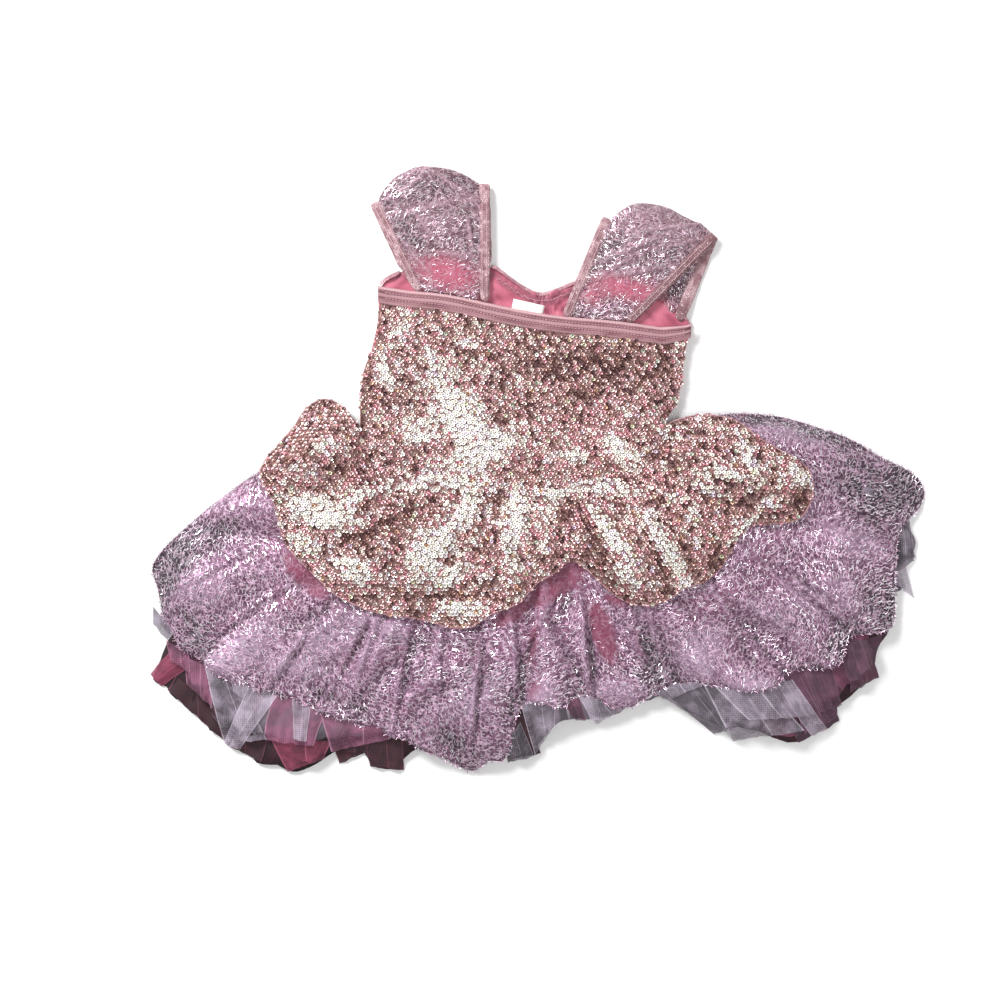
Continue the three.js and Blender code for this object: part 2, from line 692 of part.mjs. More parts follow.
// The layer seen from above: one row of places for each column, from the waist seam to the hem.
function skirtPlaces(layer, reach) {
  const angles = columnAngles(layer);
  return angles.map((deg) => {
    const share = (deg - angles[0]) / (angles.at(-1) - angles[0]);
    const seam = waistSeam(share);
    const hem = polar(deg, reach(deg));
    const lift = layer.bow.left * (1 - share) ** 6 + layer.bow.right * share ** 6;
    const length = Math.hypot(hem.x - seam.x, hem.y - seam.y);
    const near = drape.nearSeam.map((distance) => distance / Math.max(length, 3 * drape.nearSeam.at(-1)));
    const rest = evenly(layer.steps).slice(1).map((part) => mix(near.at(-1), 1, part));
    return [...near, ...rest].map((down) => {
      const place = mixPoint(seam, hem, down);
      place.y += lift * Math.sin(Math.PI * down);
      return place;
    });
  });
}

function outlineOf(places) {
  const hem = places.map((column) => column.at(-1));
  const seam = places.map((column) => column[0]).reverse();
  return [...places[0].slice(1, -1), ...hem, ...places.at(-1).slice(1, -1).reverse(), ...seam];
}

// A fold's crest reaches further than its neighbours, and stands higher.
function foldAt(reach, deg) {
  const around = [-9, -5, 5, 9].reduce((sum, step) => sum + reach(deg + step), 0) / 4;
  return THREE.MathUtils.clamp((reach(deg) - around) / 16, -0.75, 0.75);
}

const laidLayers = [];

// Height of the underside of the next layer: all that lies below it at that place, with the air between.
function restingHeight(upTo, x, y) {
  let height = 0;
  for (let i = 0; i < upTo; i++) {
    const below = laidLayers[i];
    const outside = distanceOutside(below.outline, x, y);
    const carried = 1 - smooth(outside, drape.overEdge, drape.overEdge + drape.sinkOver);
    if (carried === 0) continue;
    const above = laidLayers[i + 1];
    const fold = 1 + foldAt(above.reach, bearing(x, y)) * smooth(pastWaistSeam(x, y), 10, 90);
    height += carried * (below.thickness + seamGap + above.loft * fullness(x, y) * fold);
  }
  return height;
}

for (const layer of skirtLayers) {
  const reach = reachOf(layer);
  const places = skirtPlaces(layer, reach);
  const thickness = clothWall[layer.cloth];
  laidLayers.push({ reach, places, thickness, loft: layer.loft, outline: outlineOf(places) });
  const level = laidLayers.length - 1;
  const underside = (p) => restingHeight(level, p.x, p.y);
  addPiece(layer.name, lay(places, underside, thickness), materials[layer.cloth]);
}

const peplumBack = laid.at(-1);

// Bodice back

function bandEdge(below) {
  return (across) => {
    const x = mix(bandTopEdge[0].x, bandTopEdge.at(-1).x, across);
    const narrowed = below * (1 - 0.22 * smooth(across, 0.93, 1));
    return { x: x - (below ? (2 * across - 1) * 0.8 : 0), y: bandTop(x) - narrowed };
  };
}

// The back lies on the front at its side seams and bulges between them, up to the skirt's height at the waist.
function backUnderside(p, column) {
  const atWaist = (peplumBack.heights[column] ?? [bodice.sideUnderside])[0];
  const middle = mix(bodice.backUnderside, atWaist, smooth(p.down, 0.2, 1));
  const side = Math.abs(2 * p.across - 1) ** 6 * (1 - smooth(p.down, 0.6, 1));
  return mix(middle, bodice.sideUnderside, side);
}

const peplumAngles = columnAngles(skirtLayers.at(-1));
const peplumShares = peplumAngles.map((deg) => (deg - peplumAngles[0]) / (peplumAngles.at(-1) - peplumAngles[0]));
const backTop = bandEdge(bodice.bandHeight + seamGap);
const backPlaces = panelPlaces(throughNotch(peplumShares), bodice.rows, backTop, aboveWaist);
addPiece("bodice_back", lay(backPlaces, backUnderside, wall.sequins), materials.sequins);

// The size label, bare, is sewn inside the band and stands up past its edge.
const labelTurn = new THREE.Vector2(Math.cos(toRadians(label.tiltDeg)), Math.sin(toRadians(label.tiltDeg)));
const labelPlaces = [-1, 0, 1].map((across) =>
  [1, -1].map((up) => ({
    x: label.x + (labelTurn.x * across * label.width - labelTurn.y * up * label.height) / 2,
    y: label.y + (labelTurn.y * across * label.width + labelTurn.x * up * label.height) / 2,
  })),
);
addPiece("label", lay(labelPlaces, () => label.underside, wall.label), materials.label);

const bandPlaces = panelPlaces(evenly(20), 2, bandEdge(0), bandEdge(bodice.bandHeight));
const bandUnderside = (p) => mix(bodice.bandUnderside, bodice.sideUnderside, Math.abs(2 * p.across - 1) ** 10);
addPiece("back_top_elastic", lay(bandPlaces, bandUnderside, wall.elastic), materials.elastic);

// Straps

function foldCurve(rows) {
  const curve = new THREE.CatmullRomCurve3(rows.map((row) => new THREE.Vector3(row.x, row.y, 0)));
  return (share) => curve.getPointAt(share);
}

// A point of a strap: across is its share from one bound edge to the other, station a row of the loop table,
// and out how far it lies past that edge, for a binding.
function strapPoint(shape, fold, across, station, out = 0) {
  const row = strapLoop[station];
  const onFront = station > strapLoop.findIndex((each) => each.along === 1);
  const end = onFront ? shape.front : shape.back;
  const edge = onFront ? frontTop : bandTop;
  const x = mix(end.from, end.to, across) + out * (across < 0.5 ? -1 : 1);
  const tip = fold(across);
  const backX = mix(shape.back.from, shape.back.to, across);
  const square = new THREE.Vector2(bandTop(backX) - tip.y, tip.x - backX).normalize();
  if (across > 0.5) square.negate();
  const pastTip = { x: tip.x + square.x * out, y: tip.y + square.y * out };
  const place = mixPoint({ x, y: edge(x) + strap.endGap }, pastTip, row.along);
  const swell = Math.sin(Math.PI * across);
  const gather = onFront ? 0 : strap.gatherDepth * Math.cos(2 * Math.PI * strap.gathers * across);
  const nearBase = (1 - row.along) * row.along * 3;
  return new THREE.Vector3(place.x, place.y, row.height + row.puff * swell + gather * nearBase);
}

function addStrap(side, shape) {
  const fold = foldCurve(shape.fold);
  const stations = strapLoop.map((_, station) => station);
  const strip = (across, outs) => outs.map((out) => stations.map((at) => strapPoint(shape, fold, across, at, out)));
  const net = evenly(strap.columns).flatMap((across) => strip(across, [0]));
  addPiece("strap_" + side + "_net", bendingWall(net, wall.net), materials.net);
  for (const [across, edge] of ["from", "to"].entries()) {
    const kind = edge === shape.outer ? "outer" : "inner";
    const middle = strip(across, evenly(2).map((share) => strap.edgeGap + share * strap.trimWidth));
    addPiece("strap_" + side + "_" + kind + "_binding", bendingWall(middle, wall.trim), materials.trim);
  }
}

for (const [side, shape] of Object.entries(strapShapes)) addStrap(side, shape);

// The part stands on its underside, with the middle of its outline at the origin.
const extent = new THREE.Box3().setFromObject(costume, true);
costume.position.set(-(extent.min.x + extent.max.x) / 2, -(extent.min.y + extent.max.y) / 2, -extent.min.z);

export default costume;
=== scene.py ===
# A child's ballet costume laid flat with its back up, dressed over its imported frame. Metres, Z up.
import math

import bmesh
import bpy
import numpy as np
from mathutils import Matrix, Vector, noise
from mathutils.bvhtree import BVHTree


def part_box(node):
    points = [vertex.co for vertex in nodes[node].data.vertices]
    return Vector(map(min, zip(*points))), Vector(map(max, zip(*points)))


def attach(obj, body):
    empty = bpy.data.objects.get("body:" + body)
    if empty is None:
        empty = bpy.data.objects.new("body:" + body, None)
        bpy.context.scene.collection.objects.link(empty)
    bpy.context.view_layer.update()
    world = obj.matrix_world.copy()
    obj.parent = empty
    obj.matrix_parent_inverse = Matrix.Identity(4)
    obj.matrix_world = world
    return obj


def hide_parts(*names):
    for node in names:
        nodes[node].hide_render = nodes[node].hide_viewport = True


mm = 0.001
pixel = 0.8 * mm
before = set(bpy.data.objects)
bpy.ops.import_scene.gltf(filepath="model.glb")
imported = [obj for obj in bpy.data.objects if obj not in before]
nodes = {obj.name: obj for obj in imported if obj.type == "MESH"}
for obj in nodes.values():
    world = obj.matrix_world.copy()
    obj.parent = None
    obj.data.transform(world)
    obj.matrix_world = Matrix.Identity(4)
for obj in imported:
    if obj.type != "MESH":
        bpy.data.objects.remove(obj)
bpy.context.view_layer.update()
scene = bpy.context.scene
draw = np.random.default_rng(7)
upward = Vector((0, 0, 1))

bandWidth = 13 * mm
# The middle of the waist seam, which is half an ellipse: everything on the skirt is placed round it.
waistHalfWidth, waistDrop = 117 * mm, 50 * mm
bodiceLow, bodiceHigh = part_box("bodice_back")
waistCentre = Vector((bodiceLow.x + waistHalfWidth, bodiceLow.y + waistDrop, 0))


# Shader helpers: a wrapped socket, so that shader maths reads as plain sums

class Value:
    def __init__(self, tree, socket):
        self.tree, self.socket = tree, socket

    def maths(self, operation, *others):
        node = self.tree.nodes.new("ShaderNodeMath")
        node.operation = operation
        for slot, value in zip(node.inputs, (self, *others)):
            plug(self.tree, slot, value)
        return Value(self.tree, node.outputs[0])

    def __add__(self, other):
        return self.maths("ADD", other)

    def __sub__(self, other):
        return self.maths("SUBTRACT", other)

    def __mul__(self, other):
        return self.maths("MULTIPLY", other)

    def __rsub__(self, other):
        return self.maths("MULTIPLY", -1).maths("ADD", other)

    __radd__ = __add__
    __rmul__ = __mul__

    def between(self, low, high, toLow=0.0, toHigh=1.0):
        node = self.tree.nodes.new("ShaderNodeMapRange")
        node.interpolation_type = "SMOOTHSTEP"
        for slot, value in zip(node.inputs, (self, low, high, toLow, toHigh)):
            plug(self.tree, slot, value)
        return Value(self.tree, node.outputs[0])

    def near(self, middle, outer, inner):
        return (self - middle).maths("ABSOLUTE").between(outer, inner)


def plug(tree, slot, value):
    if isinstance(value, Value):
        tree.links.new(value.socket, slot)
    elif isinstance(value, (tuple, list)) and len(value) == 3 and slot.type == "RGBA":
        slot.default_value = (*value, 1)
    else:
        slot.default_value = value


def rgb(red, green, blue):
    # A colour named as it looks on screen, 0 to 255.
    def linear(c):
        return c / 12.92 if c <= 0.04045 else ((c + 0.055) / 1.055) ** 2.4
    return tuple(linear(c / 255) for c in (red, green, blue))


class Finish:
    # One material. make() adds any node, and the rest are the few that every cloth here uses.
    def __init__(self, name, **settings):
        self.material = bpy.data.materials.new(name)
        self.material.use_nodes = True
        self.tree = self.material.node_tree
        self.shader = self.tree.nodes["Principled BSDF"]
        self.feed(**settings)

    def make(self, kind, settings=None, output=0, **inputs):
        node = self.tree.nodes.new(kind)
        for key, value in (settings or {}).items():
            setattr(node, key, value)
        for key, value in inputs.items():
            plug(self.tree, node.inputs[key.replace("_", " ")], value)
        return Value(self.tree, node.outputs[output])

    def place(self):
        return self.make("ShaderNodeTexCoord", output="Object")

    def along(self):
        return self.make("ShaderNodeUVMap", {"uv_map": "cloth"})

    def attribute(self, name, output="Fac"):
        return self.make("ShaderNodeAttribute", {"attribute_name": name}, output)

    def scaled(self, vector, by):
        node = self.tree.nodes.new("ShaderNodeVectorMath")
        node.operation = "MULTIPLY"
        plug(self.tree, node.inputs[0], vector)
        node.inputs[1].default_value = by
        return Value(self.tree, node.outputs[0])

    def grain(self, vector, scale, detail=2.0):
        return self.make("ShaderNodeTexNoise", Vector=vector, Scale=scale, Detail=detail)

    def cells(self, vector, scale, randomness=1.0, feature="F1"):
        pattern = {"Vector": vector, "Scale": scale, "Randomness": randomness}
        return self.make("ShaderNodeTexVoronoi", {"feature": feature}, **pattern)

    def web(self, vector, scale, randomness=1.0):
        return self.cells(vector, scale, randomness, "DISTANCE_TO_EDGE")

    def blend(self, factor, first, second, mode="MIX"):
        node = self.tree.nodes.new("ShaderNodeMix")
        node.data_type, node.blend_type = "RGBA", mode
        plug(self.tree, node.inputs["Factor"], factor)
        plug(self.tree, node.inputs[6], first)
        plug(self.tree, node.inputs[7], second)
        return Value(self.tree, node.outputs[2])

    def layered(self, colour, *layers):
        for factor, tint in layers:
            colour = self.blend(factor, colour, tint)
        return colour

    def finished(self, colour, height, distance, strength, **more):
        normal = self.make("ShaderNodeBump", Height=height, Distance=distance, Strength=strength)
        self.feed(Base_Color=colour, Normal=normal, **more)
        return self.material

    def feed(self, **inputs):
        for socket, value in inputs.items():
            plug(self.tree, self.shader.inputs[socket.replace("_", " ")], value)


# Finishes

def sequinFinish():
    # A sequin that catches the light shows as flat white, so that one isn't much of a mirror.
    look = Finish("sequin_foil", Roughness=0.24, IOR=1.5)
    tint = look.attribute("tint", "Color")
    speck = look.grain(look.place(), 900)
    lit = look.attribute("lit")
    look.feed(Base_Color=tint, Metallic=0.75 - lit * 0.65, Roughness=speck.between(0.3, 0.7, 0.24, 0.42))
    return look.material


def plainFinish(name, pattern, limits, deep, light, dent, **settings):
    # One pattern that blends two colours and dents the surface.
    look = Finish(name, **settings)
    kind, *numbers = pattern
    height = kind(look, look.place(), *numbers)
    factor = height.between(*limits) if limits else height
    return look.finished(look.blend(factor, deep, light), height, *dent)


def netFinish(name, tints):
    # A cobweb of pale thread over its ground, with painted shade and painted highlights on the ground.
    look = Finish(name, Roughness=0.6, Sheen_Weight=0.2)
    where, blush, painted_shade = look.place(), look.attribute("blush"), look.attribute("painted_shade")
    sway = look.make("ShaderNodeTexNoise", output=1, Vector=where, Scale=190, Detail=1)
    bent = look.blend(0.005, where, sway, "ADD")
    glint = look.grain(where, 240, 2).between(0.38, 0.62, 0.1, 1)
    cloud = look.grain(where, 30, 3).between(0.35, 0.65)
    thread = look.web(bent, 300).between(0.2, 0.05) * glint * (1 - blush * 0.75) * (1 - painted_shade * 0.5)
    fine = look.web(bent, 520).between(0.14, 0.02) * 0.45 * (1 - painted_shade) * (1 - blush * 0.7)
    colour = look.layered(
        tints["deep"], (cloud, tints["middle"]), (blush, tints["rosy"]), (painted_shade, tints["dark"]),
        (look.attribute("painted_highlight"), tints["pale"]), (fine, tints["fine"]), (thread, tints["thread"]))
    return look.finished(colour, thread, 0.0006, 0.8, Metallic=thread * 0.4)


def foilThreadFinish():
    look = Finish("silver_thread", Metallic=0.75, Roughness=0.3)
    look.feed(Base_Color=look.attribute("tint", "Color"))
    return look.material


def tulleFinish(name, deep, light, streak, opacity):
    # The ground blends from deep, painted shade, to light along broad folds, with streaks of painted
    # highlight.
    look = Finish(name, Roughness=0.75, Sheen_Weight=0.08)
    strip = look.along()
    folds = look.grain(look.scaled(strip, (1, 0.06, 1)), 90, 3)
    fine = look.grain(look.scaled(strip, (1, 0.03, 1)), 420, 2)
    weave = look.web(look.place(), 900, 0.15)
    colour = look.layered(deep, (folds.between(0.35, 0.7), light), (fine.between(0.6, 0.78) * 0.8, streak),
                          (weave.between(0.0, 0.25) * 0.25, deep))
    alpha = folds.between(0.3, 0.7, opacity, min(1, opacity + 0.15))
    return look.finished(colour, fine + weave * 0.4, 0.0005, 0.5, Alpha=alpha)


def tulleFoldFinish(name, deep, light, edge, opacity):
    # A single fold of tulle: seen through, darkened as painted shade by how shaded it lies, with paler lines
    # along its creases and rim that are partly the cloth doubling over and partly painted highlights.
    look = Finish(name, Roughness=0.7, Sheen_Weight=0.08)
    strip = look.along()
    weave = look.web(look.place(), 620, 0.1)
    creases = look.grain(look.scaled(strip, (15, 0.35, 1)), 1, 3)
    cloud = look.grain(look.place(), 70, 2)
    rim = look.make("ShaderNodeSeparateXYZ", Vector=strip).near(0.5, 0.46, 0.498)
    line = creases.between(0.6, 0.68)
    shade = look.attribute("shade")
    plain = 1 - shade * 0.8
    deeper = (cloud.between(0.3, 0.7) * 0.5 + shade).maths("MINIMUM", 1)
    colour = look.layered(light, (deeper, deep), (line * plain * 0.6, edge), (rim * plain * 0.6, edge),
                          (weave.between(0.22, 0.05) * plain * 0.3, light),
                          (look.attribute("dusk"), rgb(78, 60, 76)))
    see = weave.between(0.25, 0.05) * 0.2 + line * 0.18 + rim * 0.28 + shade * 0.34 + opacity
    see = (see - cloud.between(0.35, 0.65) * 0.14).maths("MINIMUM", 1)
    return look.finished(colour, creases + weave * 0.3, 0.0006, 0.5, Alpha=see)


def jerseyFinish():
    look = Finish("pink_jersey", Roughness=0.58, Sheen_Weight=0.4)
    where = look.place()
    rib = look.grain(look.scaled(where, (1, 0.35, 1)), 1500, 1)
    cloud = look.grain(where, 22, 2)
    # crease darkens the jersey as painted shade in its gathers and creases.
    colour = look.layered(
        rgb(182, 82, 108), (cloud.between(0.3, 0.7), rgb(222, 128, 150)),
        (rib.between(0.4, 0.6) * 0.25, rgb(166, 68, 94)), (look.attribute("crease") * 0.85, rgb(140, 50, 78)),
        (look.attribute("turning") * 0.85, rgb(146, 78, 96)))
    return look.finished(colour, rib, 0.0003, 0.5)


def elasticFinish():
    look = Finish("satin_elastic", Sheen_Weight=0.3)
    strip = look.along()
    ribs = look.make("ShaderNodeTexWave", {"wave_type": "BANDS", "bands_direction": "X"},
                     Vector=strip, Scale=260, Distortion=1.5, Detail=2)
    soft = look.grain(look.scaled(strip, (0.3, 1, 1)), 160, 3)
    share = look.make("ShaderNodeSeparateXYZ", output=1, Vector=strip) * (1 / bandWidth)
    # seam is painted shade in the band's two stitched grooves; edge paints highlights along its rolled top,
    # its foot and its middle rib.
    seam = share.near(0.32, 0.07, 0.02) + share.near(0.64, 0.06, 0.02)
    edge = share.between(0.2, 0.12) + share.between(0.82, 0.9) * 0.7 + share.near(0.49, 0.12, 0.03) * 0.6
    colour = look.layered(rgb(126, 78, 86), (soft.between(0.3, 0.7), rgb(168, 120, 128)),
                          (ribs * 0.3, rgb(122, 74, 82)), (edge * 0.75, rgb(216, 172, 178)),
                          (seam * 0.75, rgb(92, 52, 60)))
    return look.finished(colour, ribs, 0.0003, 0.6, Roughness=soft.between(0.3, 0.7, 0.34, 0.55))


def bindingFinish(name, dark, deep, light):
    look = Finish(name, Roughness=0.5, Sheen_Weight=0.3)
    where = look.place()
    loops = look.web(where, 760)
    soft = look.grain(where, 170, 3)
    spark = look.cells(where, 620).between(0.3, 0.16) * soft.between(0.4, 0.55)
    colour = look.layered(deep, (soft.between(0.35, 0.65), light),
                          (look.attribute("darkened") * 0.75, rgb(116, 72, 78)),
                          (loops.between(0.16, 0.03) * 0.6, dark), (spark * 0.85, rgb(250, 234, 238)))
    return look.finished(colour, loops + soft * 0.5, 0.0007, 0.9, Metallic=spark * 0.5)


def labelFinish():
    look = Finish("label_satin", Roughness=0.4)
    weave = look.make("ShaderNodeTexWave", {"bands_direction": "Y"},
                      Vector=look.place(), Scale=900, Distortion=0.4)
    cloud = look.grain(look.place(), 90, 2).between(0.3, 0.7)
    return look.finished(look.blend(cloud, rgb(232, 228, 226), rgb(252, 250, 248)), weave, 0.0002, 0.4)


def threadFinish(name, deep, light):
    return plainFinish(name, (Finish.grain, 2600, 1), None, deep, light, (0.0001, 0.5), Roughness=0.5)


print("finishes")
finishes = {
    "sequins": sequinFinish(),
    # The ground under the sequins is darkened as painted shade between them and in their holes.
    "sequinGround": plainFinish("sequin_ground", (Finish.cells, 700), (0.1, 0.7), rgb(74, 46, 46),
                                rgb(150, 104, 102), (0.0004, 0.6), Roughness=0.75),
    # On the two pieces underneath the sequins lie in the finish, since nothing shows of them from above.
    # Its pale and dark cells stand for the sequins' painted highlights and painted shade.
    "sequinCover": plainFinish("sequin_cover", (Finish.cells, 330, 0.35), (0.2, 0.6), rgb(205, 145, 142),
                               rgb(116, 66, 66), (0.0006, 0.8), Metallic=0.8, Roughness=0.3),
    # In both nets the dark tint is painted shade and the pale tint a painted highlight.
    "net": netFinish("glitter_net", {
        "deep": rgb(74, 38, 64), "middle": rgb(118, 70, 102), "rosy": rgb(128, 50, 78),
        "dark": rgb(34, 16, 32), "pale": rgb(176, 154, 178), "fine": rgb(168, 122, 152),
        "thread": rgb(226, 190, 216)}),
    "strapNet": netFinish("strap_net", {
        "deep": rgb(86, 54, 64), "middle": rgb(124, 86, 98), "rosy": rgb(190, 84, 112),
        "dark": rgb(36, 20, 28), "pale": rgb(188, 152, 168), "fine": rgb(150, 112, 124),
        "thread": rgb(208, 176, 188)}),
    "foil": foilThreadFinish(),
    "white": tulleFinish("white_tulle", rgb(108, 98, 108), rgb(182, 166, 184), rgb(224, 210, 226), 0.84),
    "pink": tulleFinish("pink_tulle", rgb(76, 42, 60), rgb(138, 80, 106), rgb(190, 136, 162), 0.88),
    "rose": tulleFinish("rose_tulle", rgb(26, 12, 18), rgb(62, 28, 40), rgb(110, 58, 76), 0.95),
    "whiteFold": tulleFoldFinish(
        "white_tulle_fold", rgb(76, 70, 78), rgb(216, 200, 220), rgb(250, 240, 252), 0.4),
    "pinkFold": tulleFoldFinish(
        "pink_tulle_fold", rgb(62, 34, 50), rgb(174, 110, 142), rgb(222, 172, 200), 0.46),
    "roseFold": tulleFoldFinish(
        "rose_tulle_fold", rgb(38, 12, 22), rgb(142, 60, 88), rgb(186, 106, 134), 0.72),
    "jersey": jerseyFinish(),
    "elastic": elasticFinish(),
    "binding": bindingFinish("strap_binding", rgb(96, 62, 70), rgb(154, 108, 116), rgb(206, 168, 174)),
    "neckBinding": bindingFinish("neck_binding", rgb(110, 58, 74), rgb(166, 104, 118), rgb(210, 156, 166)),
    "hem": bindingFinish("rolled_hem", rgb(120, 70, 80), rgb(176, 120, 128), rgb(222, 176, 180)),
    "label": labelFinish(),
    "thread": threadFinish("sewing_thread", rgb(196, 154, 162), rgb(238, 206, 212)),
    "softThread": threadFinish("rosy_thread", rgb(176, 118, 132), rgb(222, 170, 182)),
}


# Meshes

def addPiece(name, mesh, finish, slot, *replaced):
    mesh.name = name
    piece = bpy.data.objects.new(name, mesh)
    scene.collection.objects.link(piece)
    mesh.materials.clear()
    mesh.materials.append(finishes[finish])
    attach(piece, "root")
    if replaced:
        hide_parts(*replaced)
    return piece


def meshFrom(points, faces, smooth=True):
    mesh = bpy.data.meshes.new("shape")
    mesh.from_pydata([tuple(p) for p in points], [], [tuple(int(i) for i in f) for f in faces])
    mesh.update()
    if smooth:
        mesh.shade_smooth()
    return mesh


def quadMesh(corners, tints=None, smooth=False):
    # Loose quads from an array of shape (count, 4, 3), each with its own tint.
    mesh = meshFrom(corners.reshape(-1, 3), np.arange(len(corners) * 4).reshape(-1, 4), smooth)
    if tints is not None:
        tintPoints(mesh, np.repeat(tints, 4, axis=0))
    return mesh


def tintPoints(mesh, tints):
    layer = mesh.color_attributes.new("tint", "FLOAT_COLOR", "POINT")
    colours = np.ones((len(tints), 4), np.float32)
    colours[:, :3] = np.clip(tints, 0, 1)
    layer.data.foreach_set("color", colours.ravel())


def ribbon(start, end, side):
    # The corners of a flat strip from start to end, where side is half its width.
    return [tuple(corner) for corner in (start - side, end - side, end + side, start + side)]


def gridFaces(rows, columns):
    starts = [i * columns + j for i in range(rows - 1) for j in range(columns - 1)]
    return [(a, a + 1, a + columns + 1, a + columns) for a in starts]


def ringFaces(rings, sides, start=0):
    pairs = [(start + i * sides + k, start + i * sides + (k + 1) % sides)
             for i in range(rings - 1) for k in range(sides)]
    return [(a, b, b + sides, a + sides) for a, b in pairs]


def meshPoints(mesh, kind="co"):
    values = np.empty(len(mesh.vertices) * 3)
    mesh.vertices.foreach_get(kind, values)
    return values.reshape(-1, 3)


def setPoints(mesh, points):
    mesh.vertices.foreach_set("co", np.asarray(points, float).ravel())
    mesh.update()


def cloth(node, levels, topOnly=True):
    # The frame node's cloth with rounded folds: its upper side only, or the whole wall where it bends over.
    shape = bmesh.new()
    shape.from_mesh(nodes[node].data)
    bmesh.ops.remove_doubles(shape, verts=shape.verts, dist=2e-6)
    if topOnly:
        shape.normal_update()
        under = [face for face in shape.faces if face.normal.z < 0.12]
        bmesh.ops.delete(shape, geom=under, context="FACES")
    limits = {"angle_face_threshold": math.radians(60), "angle_shape_threshold": math.radians(75)}
    bmesh.ops.join_triangles(shape, faces=shape.faces, **limits)
    mesh = bpy.data.meshes.new(node + "_cage")
    shape.to_mesh(mesh)
    shape.free()
    cage = bpy.data.objects.new(node + "_cage", mesh)
    scene.collection.objects.link(cage)
    rounding = cage.modifiers.new("rounding", "SUBSURF")
    rounding.levels = rounding.render_levels = levels
    fine = bpy.data.meshes.new_from_object(cage.evaluated_get(bpy.context.evaluated_depsgraph_get()))
    bpy.data.objects.remove(cage)
    bpy.data.meshes.remove(mesh)
    fine.shade_smooth()
    return fine


def thicken(piece, thickness):
    wall = piece.modifiers.new("wall", "SOLIDIFY")
    wall.thickness, wall.offset = thickness, -1


def polar(points):
    # Angle about the waist's middle, in degrees from 90 to 450, and distance past the seam.
    x, y = points[:, 0] - waistCentre.x, points[:, 1] - waistCentre.y
    turn = np.arctan2(y, x)
    seam = 1 / np.hypot(np.cos(turn) / waistHalfWidth, np.sin(turn) / waistDrop)
    degrees = np.degrees(turn)
    return np.where(degrees < 90, degrees + 360, degrees), np.hypot(x, y) - seam


def fromPhoto(x, y):
    # A place in the photograph, on the costume.
    return Vector((pixel * (x - 538.6), pixel * (473.6 - y), 0))


def table(columns, rows):
    # Rows of numbers under named columns, in reading order.
    names, numbers = columns.split(), [float(word) for word in rows.split()]
    return [dict(zip(names, numbers[i:i + len(names)])) for i in range(0, len(numbers), len(names))]


def ovals(rows):
    return table("x y long wide turn strength", rows)


def patchAt(patches, points):
    # How strongly the nearest soft oval patch covers each point, 0 to 1.
    best = np.zeros(len(points))
    for patch in patches:
        middle = fromPhoto(patch["x"], patch["y"])
        dx, dy = points[:, 0] - middle.x, points[:, 1] - middle.y
        turn = math.radians(patch["turn"])
        along = (dx * math.cos(turn) + dy * math.sin(turn)) / (patch["long"] * pixel)
        across = (dy * math.cos(turn) - dx * math.sin(turn)) / (patch["wide"] * pixel)
        best = np.maximum(best, patch["strength"] * np.exp(-(along ** 2 + across ** 2) ** 1.5))
    return best


def smoothstep(low, high, value):
    t = np.clip((value - low) / (high - low), 0, 1)
    return t * t * (3 - 2 * t)


def smoothed(values, width, mode="edge", **more):
    # A running mean over an odd number of values.
    return np.convolve(np.pad(values, width // 2, mode, **more), np.ones(width) / width, "valid")


def noiseAt(points, scale, seed=0.0):
    # Soft noise from -1 to 1 at each point, with features about scale across.
    places = points / scale + (seed, -seed, 0)
    return np.array([noise.noise(Vector(place)) for place in places])


def clothMap(mesh, across, down):
    # Lays the cloth out flat as its map, so that a weave or streak follows it.
    layer = mesh.uv_layers.new(name="cloth")
    corners = np.empty(len(mesh.loops), int)
    mesh.loops.foreach_get("vertex_index", corners)
    flat = np.stack([across, down], axis=1)[corners]
    layer.data.foreach_set("uv", flat.ravel().astype(np.float32))


def paint(mesh, name, values):
    layer = mesh.attributes.new(name, "FLOAT", "POINT")
    layer.data.foreach_set("value", np.asarray(values, np.float32))


def surfaceTree(mesh):
    faces = [tuple(face.vertices) for face in mesh.polygons]
    return BVHTree.FromPolygons([vertex.co for vertex in mesh.vertices], faces)


def dropOnto(tree, x, y):
    # Where a thing dropped at this place comes to lie on the cloth, and the cloth's slope there.
    place, normal, _, _ = tree.ray_cast(Vector((x, y, 0.2)), -upward)
    if normal is not None and normal.z < 0:
        normal = -normal
    return place, normal


# Skirt

# Where the light catches the sequins, as seen in the photograph, in its pixels.
shinePatches = ovals("""
    440 370 30 10 -50 .5   460 415 46 20 -60 .85   420 432 24 16 0 .6   482 452 38 18 30 .75
    450 482 58 10 0 .65   402 328 22 11 60 .45   382 368 20 10 90 .4   618 450 22 11 -30 .7
    570 456 20 8 0 .5   600 488 42 7 -5 .65   560 493 36 6 5 .6   470 345 14 6 0 .55
    325 512 36 15 -12 .95   308 541 18 9 -40 .7   364 494 18 6 20 .7   432 552 36 17 60 .95
    465 512 24 10 70 .85   447 577 25 10 40 .65   515 518 29 12 80 1   512 560 20 7 -70 .7
    612 536 42 7 -52 .85   662 546 44 7 -58 .9   716 474 30 5 -8 .8   705 489 15 5 -20 .7
    746 458 30 5 -65 .85   792 474 15 9 -60 .7   765 506 11 6 0 .7   664 432 7 6 0 .6
    738 528 26 4 45 .75   356 568 25 12 -30 .6   460 606 28 8 -5 .65   330 446 15 10 0 .5
    622 574 25 9 -30 .6   545 520 12 26 0 .35   310 470 16 6 0 .4   690 500 30 5 -12 .4
""")
shadePatches = ovals("""
    592 366 92 30 -6 .5   380 528 46 7 26 1   722 560 26 12 35 .9   335 466 42 8 0 .5
    722 506 44 6 -10 .6   440 594 50 9 0 .55   600 556 22 6 -60 .7   796 500 8 18 0 .7
    372 400 8 50 0 .4   655 560 40 5 -58 .5   690 470 40 5 -25 .5   560 545 36 6 80 .4
    540 410 60 8 -8 .3   350 546 30 8 20 .6   590 530 30 4 -52 .6   460 540 24 5 65 .5
""")
